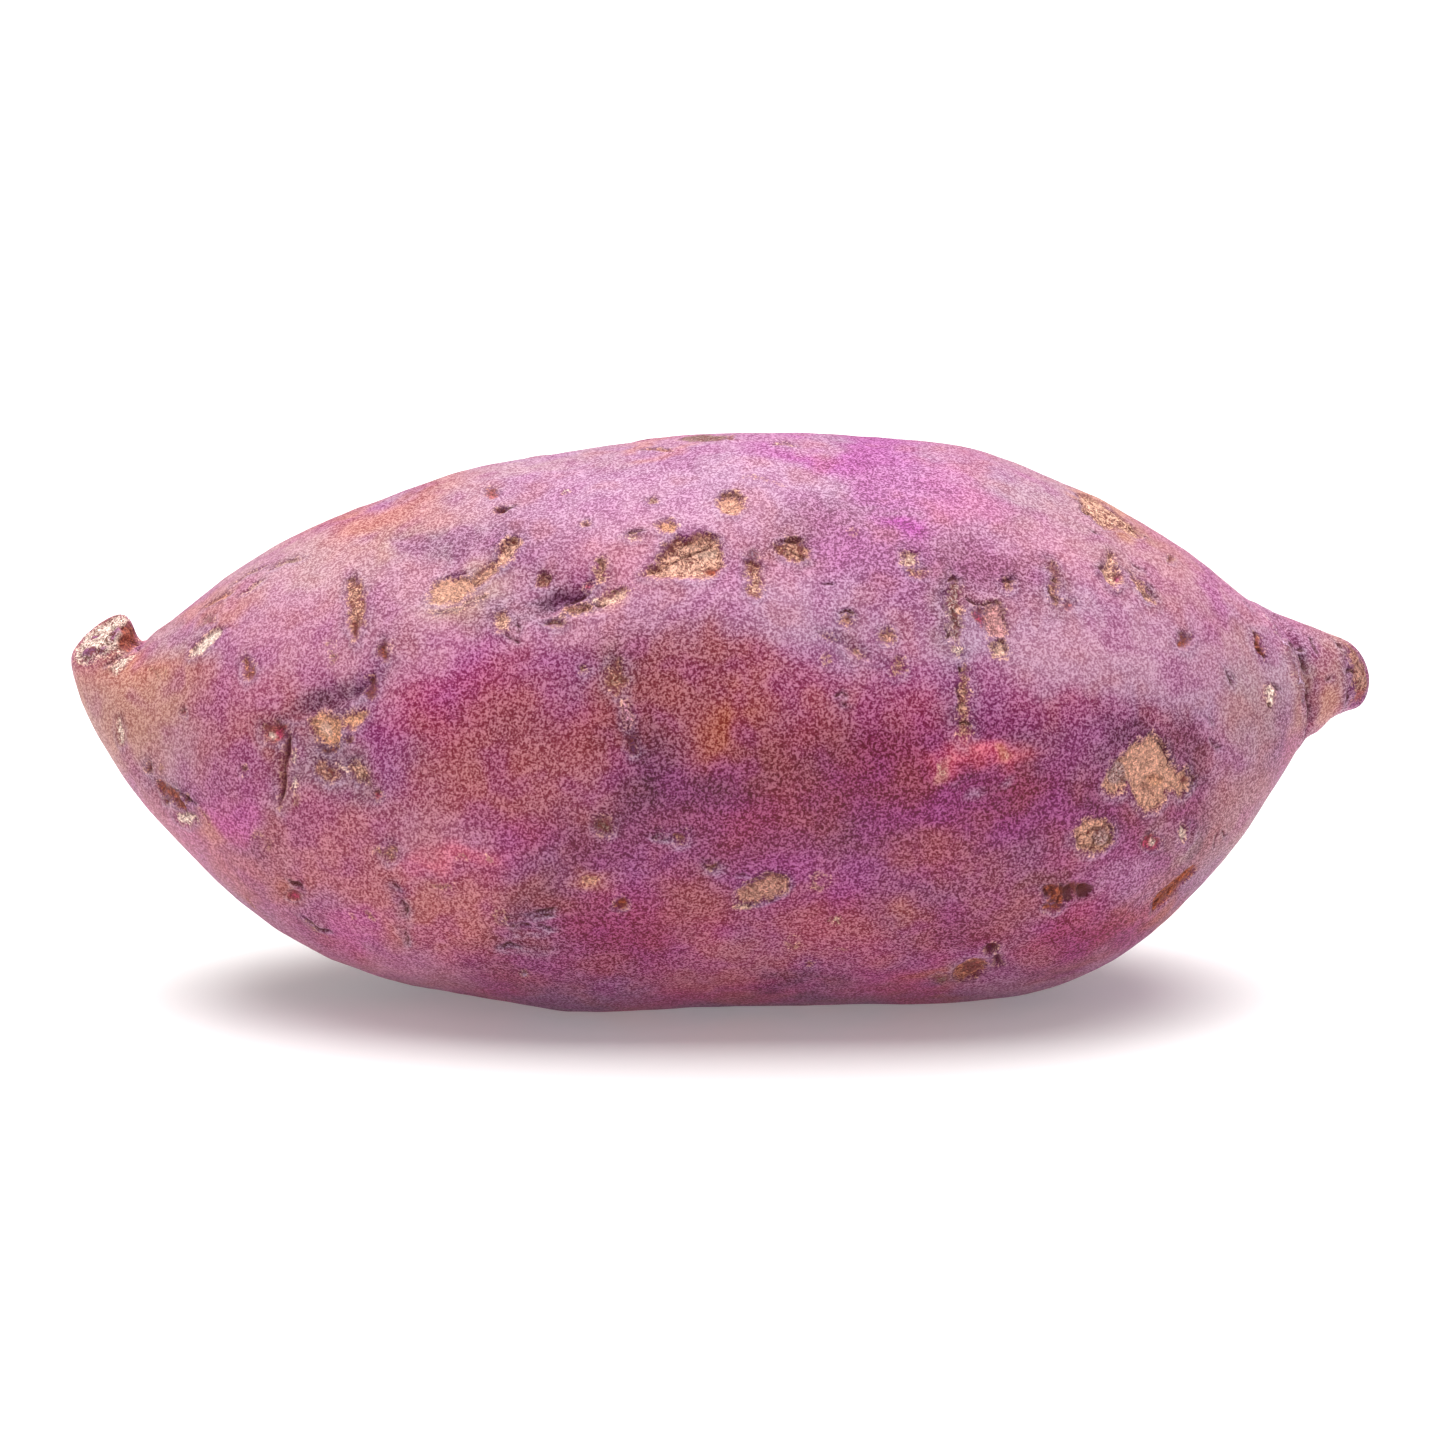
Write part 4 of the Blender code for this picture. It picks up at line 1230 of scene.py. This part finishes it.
UPPER_RIGHT_WASHES = (
    (PURPLE, 0.68, 838, 452, 92, 14, -2), (MAUVE, 0.50, 762, 484, 50, 26),
    (HEATHER, 0.45, 852, 500, 46, 18), (PURPLE, 0.90, 904, 526, 24, 14), (PURPLE, 0.45, 890, 482, 40, 18),
    (FUCHSIA, 0.50, 962, 492, 40, 36, -15), (UMBER, 0.60, 795, 548, 24, 13),
    (VIOLET, 0.60, 868, 572, 62, 38), (PLUM, 0.70, 990, 574, 62, 20, -8),
    (MAUVE, 0.45, 1010, 538, 40, 14, -20), (LILAC, 0.45, 816, 616, 66, 36),
    (ROSE, 0.50, 1060, 556, 50, 30, -25), (AMBER, 0.70, 1104, 512, 44, 9, -30),
    (PINK, 0.65, 1050, 642, 130, 44), (PINK, 0.65, 1100, 668, 80, 28), (LILAC, 0.75, 960, 652, 18, 15),
    (HEATHER, 0.60, 948, 690, 10, 38), (OLIVE, 0.45, 940, 610, 10, 34), (UMBER, 0.50, 1054, 598, 12, 10),
    (PURPLE, 0.60, 1206, 582, 28, 9, -38), (DUST, 0.40, 1150, 560, 80, 34, -35),
    # The lilac wash at 1280, 658 on this line is painted highlight along the lip where the body ends.
    (CLAY, 0.45, 1232, 662, 26, 24), (LILAC, 0.70, 1280, 658, 15, 44, 18), (DUST, 0.75, 1318, 668, 34, 48),
    (CLAY, 0.30, 1318, 655, 24, 30), (HEATHER, 0.75, 1362, 672, 13, 36), (CLAY, 0.60, 1316, 700, 22, 34),
    (PINK, 0.45, 1205, 702, 58, 28), (VIOLET, 0.45, 1186, 672, 18, 11))
LOWER_RIGHT_WASHES = (
    (AUBERGINE, 0.26, 955, 785, 200, 52), (PLUM, 0.35, 1165, 752, 44, 26), (ROSE, 0.50, 1120, 642, 100, 28),
    (DUST, 0.40, 1248, 665, 30, 48), (PINK, 0.45, 1185, 676, 80, 40), (ROSE, 0.45, 1120, 668, 130, 28),
    (PLUM, 0.32, 1150, 785, 80, 62), (MAUVE, 0.55, 1212, 762, 40, 40), (DUST, 0.45, 1250, 724, 30, 38),
    (TERRA, 0.35, 1240, 806, 26, 40, -35), (DUST, 0.30, 1242, 830, 50, 60, -35),
    (HEATHER, 0.60, 1095, 740, 62, 34), (AUBERGINE, 0.50, 1168, 740, 22, 26),
    (DUSK, 0.60, 1194, 772, 12, 28), (AUBERGINE, 0.75, 1098, 802, 20, 11),
    # On this line and the next four, the plum wash at 968, 738 above the coral ridge and the wine, aubergine
    # and purple washes from 892 to 1000 across and 780 to 818 down, under the ridge, are painted shade.
    (DUSK, 0.65, 1118, 738, 26, 16, 25), (PLUM, 0.55, 968, 738, 34, 16), (WINE, 0.65, 892, 780, 64, 28),
    (WINE, 0.75, 1000, 792, 62, 22), (CORAL, 0.55, 956, 764, 26, 18, -6),
    (CORAL, 0.75, 988, 765, 36, 16, 12), (CRIMSON, 0.75, 980, 776, 38, 8, 14),
    (CLAY, 0.70, 1003, 756, 10, 6), (SALMON, 0.60, 942, 776, 8, 10), (WINE, 0.80, 992, 792, 52, 10, 10),
    (AUBERGINE, 0.32, 985, 808, 70, 20), (PURPLE, 0.35, 965, 818, 84, 20),
    (VIOLET, 0.50, 1062, 806, 28, 18), (RUSSET, 0.50, 942, 854, 50, 18), (CLAY, 0.55, 910, 910, 22, 20),
    (WINE, 0.45, 950, 922, 40, 22), (RUSSET, 0.45, 1004, 902, 36, 40), (WINE, 0.78, 1082, 948, 66, 22, 18),
    (OLIVE, 0.60, 970, 968, 26, 12, 20), (RUST, 0.55, 940, 986, 26, 8), (RUST, 0.65, 1160, 900, 44, 14, 42),
    (PLUM, 0.30, 1030, 800, 150, 34), (ROSE, 0.45, 1075, 982, 90, 18), (VIOLET, 0.45, 1130, 836, 20, 36),
    (DUST, 0.50, 1180, 830, 15, 15), (AUBERGINE, 0.60, 1194, 832, 8, 16), (MAUVE, 0.45, 1132, 880, 36, 18),
    (UMBER, 0.60, 1058, 892, 28, 11), (HEATHER, 0.38, 945, 585, 110, 26), (UMBER, 0.20, 808, 524, 50, 26),
    (UMBER, 0.20, 368, 605, 40, 50), (PLUM, 0.22, 940, 920, 90, 30), (PLUM, 0.30, 1162, 778, 44, 58))
WASHES = (
    *GROUND_WASHES, *LEFT_WASHES, *UPPER_LEFT_WASHES, *MIDDLE_WASHES, *UPPER_RIGHT_WASHES,
    *LOWER_RIGHT_WASHES)

# How steeply a wash ends at its edge
WASH_FALL = 0.7


def wash_over(points, normals, tint):
    """Lays the washes over the skin's own mottling, with wandering outlines."""
    seen = facing(points, normals)
    pixels = pixels_of(points)
    pixels += drifts(points, 9 * MM, 30.0)[:, :2] * 26 + drifts(points, 3 * MM, 31.0)[:, :2] * 13
    for wash, strength, x, y, wide, tall, *turn in WASHES:
        swing = math.radians(sum(turn))
        offset = pixels - np.array((x, y))
        east = (offset[:, 0] * math.cos(swing) - offset[:, 1] * math.sin(swing)) / wide
        south = (offset[:, 0] * math.sin(swing) + offset[:, 1] * math.cos(swing)) / tall
        cover = np.exp(-WASH_FALL * (east ** 2 + south ** 2) ** 2) * strength * seen
        tint += (wash - tint) * cover[:, None]


# How many seeded washes of each colour lie on the sides that the photo doesn't show
HIDDEN_WASHES = ((16, MAGENTA), (12, TERRA), (12, ROSE), (10, PLUM), (9, VIOLET), (8, RUSSET), (8, CLAY),
                 (7, SLATE), (6, LILAC), (6, WINE), (6, PINK), (5, UMBER), (4, RUST))


def mottled(points, normals):
    """The skin's colour without the washes: magenta and mauve, with seeded patches behind."""
    share = smooth_step(0.5 + 0.9 * waves(points, 14 * MM, 40.0) + 0.4 * waves(points, 4 * MM, 41.0))
    tint = MAGENTA + (HEATHER - MAGENTA) * share[:, None]
    draw = random.Random(HIDDEN_SEED + 1)
    moved = points + drifts(points, 8 * MM, 42.0) * 3.5 * MM + drifts(points, 2.5 * MM, 43.0) * 1.2 * MM
    hidden = 1 - facing(points, normals)
    for count, wash in HIDDEN_WASHES:
        for _ in range(count):
            place, _ = hidden_place(draw)
            reach = draw.uniform(4, 14) * MM
            gap = np.linalg.norm((moved - np.array(place)) * (0.7, 1, 1), axis=1) / reach
            cover = np.exp(-WASH_FALL * gap ** 4) * draw.uniform(0.4, 0.85) * hidden
            tint += (wash - tint) * cover[:, None]
    return tint


def store(mesh, name, kind, values):
    """Keeps a value for each point of the mesh under a name that the material reads."""
    attribute = mesh.attributes.new(name, kind, "POINT")
    field = "value" if kind == "FLOAT" else "color"
    attribute.data.foreach_set(field, values.astype(np.float32).ravel())


def with_alpha(colours):
    return np.concatenate([colours, np.ones((len(colours), 1))], axis=1)


# The materials

class Shader:
    """Adds nodes to a material. An input is a number, a colour or another node's output."""

    def __init__(self, name):
        self.material = bpy.data.materials.new(name)
        self.material.use_nodes = True
        self.tree = self.material.node_tree
        self.surface = self.tree.nodes["Principled BSDF"]
        self.place = self.node("ShaderNodeTexCoord").outputs["Object"]

    def give(self, socket, value):
        if isinstance(value, bpy.types.NodeSocket):
            self.tree.links.new(value, socket)
        elif value is not None:
            socket.default_value = value

    def node(self, kind, *inputs, **properties):
        made = self.tree.nodes.new(kind)
        for name, value in properties.items():
            setattr(made, name, value)
        for socket, value in zip(made.inputs, inputs):
            self.give(socket, value)
        return made

    def maths(self, operation, *inputs):
        return self.node("ShaderNodeMath", *inputs, operation=operation).outputs[0]

    def plus(self, first, second, factor=1.0):
        """first plus factor times second."""
        return self.maths("MULTIPLY_ADD", second, factor, first)

    def off_middle(self, value):
        """How far noise is from its middle."""
        return self.maths("ABSOLUTE", self.maths("SUBTRACT", value, 0.5))

    def ramp(self, value, low, high, start=0.0, end=1.0):
        """Carries value smoothly from start, where it is low, to end, where it is high."""
        made = self.node("ShaderNodeMapRange", value, low, high, start, end, interpolation_type="SMOOTHSTEP")
        return made.outputs["Result"]

    def mix(self, share, first, second, blend="MIX"):
        """Colours mixed by a share; the RGBA sockets of the node come after its other kinds."""
        made = self.node("ShaderNodeMix", data_type="RGBA", blend_type=blend)
        self.give(made.inputs[0], share)
        self.give(made.inputs[6], first)
        self.give(made.inputs[7], second)
        return made.outputs[2]

    def times(self, first, second):
        return self.mix(1.0, first, second, "MULTIPLY")

    def between(self, share, first, second):
        """Numbers mixed by a share; the node's first pair of number sockets is the third and fourth."""
        made = self.node("ShaderNodeMix", share)
        self.give(made.inputs[2], first)
        self.give(made.inputs[3], second)
        return made.outputs[0]

    def noise(self, size_mm, detail=1.0, roughness=0.5, distortion=0.0, stretch=1.0):
        """Noise with swells of a size in millimetres, stretched along the root."""
        place = self.place
        if stretch != 1.0:
            place = self.node("ShaderNodeMapping", place, None, None, (1 / stretch, 1, 1)).outputs[0]
        made = self.node("ShaderNodeTexNoise", noise_dimensions="3D")
        self.give(made.inputs["Vector"], place)
        made.inputs["Scale"].default_value = 1000.0 / size_mm
        made.inputs["Detail"].default_value = detail
        made.inputs["Roughness"].default_value = roughness
        made.inputs["Distortion"].default_value = distortion
        return made.outputs["Fac"]

    def stored(self, name):
        return self.node("ShaderNodeAttribute", attribute_name=name)


def solid(tone):
    return (*tone, 1.0)


# The grain: its lowest and highest level, and what it adds to the colour as a screen shows it, on
# dark skin and on pale skin, and to each of red, green and blue
GRAIN_RANGE = (0.43, 0.76)
SCREEN_GAMMA = 2.2
GRAIN_STRENGTH = 0.31
PALE_GRAIN_STRENGTH = 0.20
GRAIN_MIDDLE = 0.535
GRAIN_BY_CHANNEL = (0.94, 1.07, 1.01)
BUMP_HEIGHT = 0.10 * MM


def grain_level(shader):
    """Height of the skin's grain: fine flecks, wormy ridges and blotches of a millimetre or two."""
    fine = shader.noise(0.30, 1.5, 0.55, 0.4)
    worm = shader.ramp(shader.off_middle(shader.noise(0.64, 1.0, 0.5, 0.8)), 0.0, 0.10, 1.0, 0.0)
    blotch = shader.noise(1.6, 2.0, 0.55)
    return shader.plus(shader.plus(fine, worm, 0.17), blotch, 0.07)


def skin_colour(shader, grain):
    """The stored tint, wandering to russet and mulberry, under the grain."""
    tint = shader.stored("tint").outputs["Color"]
    hue = shader.noise(5.0, 1.5, 0.5)
    tint = shader.mix(shader.ramp(hue, 0.50, 0.72, 0.0, 0.30), tint, solid(RUSSET))
    tint = shader.mix(shader.ramp(hue, 0.52, 0.30, 0.0, 0.38), tint, solid(MULBERRY))
    light = shader.node("ShaderNodeRGBToBW", tint).outputs[0]
    strength = shader.ramp(light, 0.09, 0.30, GRAIN_STRENGTH, PALE_GRAIN_STRENGTH)
    shift = shader.maths("MULTIPLY", shader.maths("SUBTRACT", grain, GRAIN_MIDDLE), strength)
    shift = shader.node("ShaderNodeVectorMath", shift, GRAIN_BY_CHANNEL, operation="MULTIPLY").outputs[0]
    seen = shader.node("ShaderNodeGamma", tint, 1 / SCREEN_GAMMA).outputs[0]
    seen = shader.node("ShaderNodeVectorMath", seen, shift, operation="ADD").outputs[0]
    seen = shader.node("ShaderNodeVectorMath", seen, (0.0, 0.0, 0.0), operation="MAXIMUM").outputs[0]
    return shader.node("ShaderNodeGamma", seen, SCREEN_GAMMA).outputs[0]


def crackle_of(shader, share):
    """Thin dark cracks through the cork, wider where share is more."""
    gap = shader.off_middle(shader.noise(1.0, 2.0, 0.6, 1.2))
    wide = shader.plus(0.004, share, 0.07)
    return shader.ramp(shader.maths("DIVIDE", gap, wide), 0.4, 1.3, 0.92, 0.0)


def skin_material():
    """Grainy purple skin, bare cork where a scar is, and dark cracks."""
    shader = Shader("skin")
    level = grain_level(shader)
    grain = shader.ramp(level, *GRAIN_RANGE)

    # Cork under the scars
    tone = shader.stored("cork_tone")
    crumb = shader.noise(0.45, 2.0, 0.65, 1.0)
    cork = shader.times(tone.outputs["Color"], shader.ramp(crumb, 0.34, 0.66, 0.62, 1.50))
    cork = shader.times(cork, shader.ramp(level, *GRAIN_RANGE, 0.74, 1.26))
    crackle = crackle_of(shader, tone.outputs["Alpha"])
    cork = shader.mix(crackle, cork, solid(BARK))

    # Where the skin is broken, by its distance to the nearest scar and crack
    wander = shader.maths("SUBTRACT", shader.noise(1.1, 3.0, 0.75), 0.5)
    gap = shader.plus(shader.stored("bare").outputs["Fac"], wander, 2.0)
    gap = shader.plus(gap, shader.maths("SUBTRACT", level, 0.60), -2.0)
    bare = shader.ramp(gap, -0.55, 0.45, 0.94, 0.0)
    crack_gap = shader.plus(shader.stored("crack").outputs["Fac"], wander)
    crack = shader.ramp(crack_gap, -0.16, 0.18, 0.76, 0.0)
    base = shader.mix(bare, skin_colour(shader, grain), cork)
    base = shader.mix(crack, base, solid(INK))

    # Fine relief of the grain, the wrinkles along the root, the cork and the cracks
    wrinkle = shader.noise(1.0, 3.0, 0.6, 0.4, 2.6)
    skin_relief = shader.plus(wrinkle, grain, 0.25)
    cork_relief = shader.plus(shader.maths("MULTIPLY", crumb, 2.2), crackle, -0.8)
    relief = shader.plus(shader.between(bare, skin_relief, cork_relief), crack, -1.2)
    bump = shader.node("ShaderNodeBump")
    bump.inputs["Strength"].default_value = 1.0
    bump.inputs["Distance"].default_value = BUMP_HEIGHT
    shader.give(bump.inputs["Height"], relief)

    surface = shader.surface
    shader.give(surface.inputs["Base Color"], base)
    shader.give(surface.inputs["Roughness"], shader.between(bare, 0.52, 0.8))
    shader.give(surface.inputs["Normal"], bump.outputs[0])
    surface.inputs["Specular IOR Level"].default_value = 0.24
    surface.inputs["Sheen Weight"].default_value = 0.04
    surface.inputs["Sheen Roughness"].default_value = 0.5
    return shader.material


# The scene round the object

CARD = colour(236, 235, 234)
PALE_CARD = colour(240, 239, 238)
CARD_MOTTLE_MM = 60.0
FLOOR_HALF = 6.0
FLOOR_CELLS = 8
FLOOR_DROP = 0.05 * MM
SKY_STRENGTH = 0.37
LAMP_PLACE = Vector((0.0, 0.06, 0.80))
LAMP_AIM = Vector((0.0, 0.0, 0.03))
LAMP_SIZE = 1.0
LAMP_WATTS = 15.5


def floor_material():
    """Matt near-white card with the faintest mottle, glowing a little, and more far from the light."""
    shader = Shader("floor")
    shade = shader.mix(shader.noise(CARD_MOTTLE_MM, 2.0), solid(CARD), solid(PALE_CARD))
    shader.give(shader.surface.inputs["Base Color"], shade)
    shader.surface.inputs["Roughness"].default_value = 0.8
    shader.surface.inputs["Emission Color"].default_value = (1.0, 1.0, 1.0, 1.0)
    away = shader.node("ShaderNodeVectorMath", shader.place, operation="LENGTH").outputs["Value"]
    shader.give(shader.surface.inputs["Emission Strength"], shader.ramp(away, 0.3, 1.8, 0.20, 0.75))
    return shader.material


def lay_floor():
    ground = bmesh.new()
    bmesh.ops.create_grid(ground, x_segments=FLOOR_CELLS, y_segments=FLOOR_CELLS, size=FLOOR_HALF)
    mesh = bpy.data.meshes.new("floor")
    ground.to_mesh(mesh)
    ground.free()
    floor = bpy.data.objects.new("floor", mesh)
    floor.location.z = -FLOOR_DROP
    mesh.materials.append(floor_material())
    bpy.context.scene.collection.objects.link(floor)


def light_scene():
    """An even white sky, and a large lamp overhead."""
    world = bpy.data.worlds.new("studio")
    world.use_nodes = True
    sky = world.node_tree.nodes["Background"]
    sky.inputs["Color"].default_value = (1.0, 1.0, 1.0, 1.0)
    sky.inputs["Strength"].default_value = SKY_STRENGTH
    bpy.context.scene.world = world
    lamp = bpy.data.lights.new("overhead", "AREA")
    lamp.shape = "SQUARE"
    lamp.size = LAMP_SIZE
    lamp.energy = LAMP_WATTS
    light = bpy.data.objects.new("overhead", lamp)
    light.location = LAMP_PLACE
    light.rotation_euler = (LAMP_PLACE - LAMP_AIM).to_track_quat("Z", "Y").to_euler()
    bpy.context.scene.collection.objects.link(light)


def set_camera():
    lens = bpy.data.cameras.new("camera")
    lens.lens = LENS_MM
    lens.sensor_width = SENSOR_MM
    lens.clip_start = CAMERA_NEAR
    camera = bpy.data.objects.new("camera", lens)
    camera.location = camera_place()
    camera.rotation_euler = camera_axes()[2].to_track_quat("Z", "Y").to_euler()
    bpy.context.scene.collection.objects.link(camera)
    bpy.context.scene.camera = camera


def make_skin(body):
    """Gives the skin its relief and colours, and rides it on the frame."""
    mesh = body.data
    refine(mesh)
    points, normals = mesh_points(mesh), mesh_normals(mesh)
    tint = mottled(points, normals)
    wash_over(points, normals, tint)
    height, bare, crack, tone = press_marks(points, normals, tint)
    height += swells(points)
    moved = points + normals * height[:, None]
    moved[:, 2] = np.maximum(moved[:, 2], 0.0)
    set_points(mesh, moved)
    store(mesh, "tint", "FLOAT_COLOR", with_alpha(tint))
    store(mesh, "cork_tone", "FLOAT_COLOR", tone)
    store(mesh, "bare", "FLOAT", bare)
    store(mesh, "crack", "FLOAT", crack)
    mesh.shade_smooth()
    mesh.materials.append(skin_material())
    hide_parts(NODE)
    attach(body, "root")


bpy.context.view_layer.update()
noise.seed_set(NOISE_SEED)
set_camera()
light_scene()
lay_floor()
skin = rounded_body()
surface = surface_of(skin)
even_out(skin)
lay_on(surface, skin.data)
place_seen_marks()
place_hidden_marks()
make_skin(skin)
bpy.context.scene.view_settings.view_transform = "Standard"
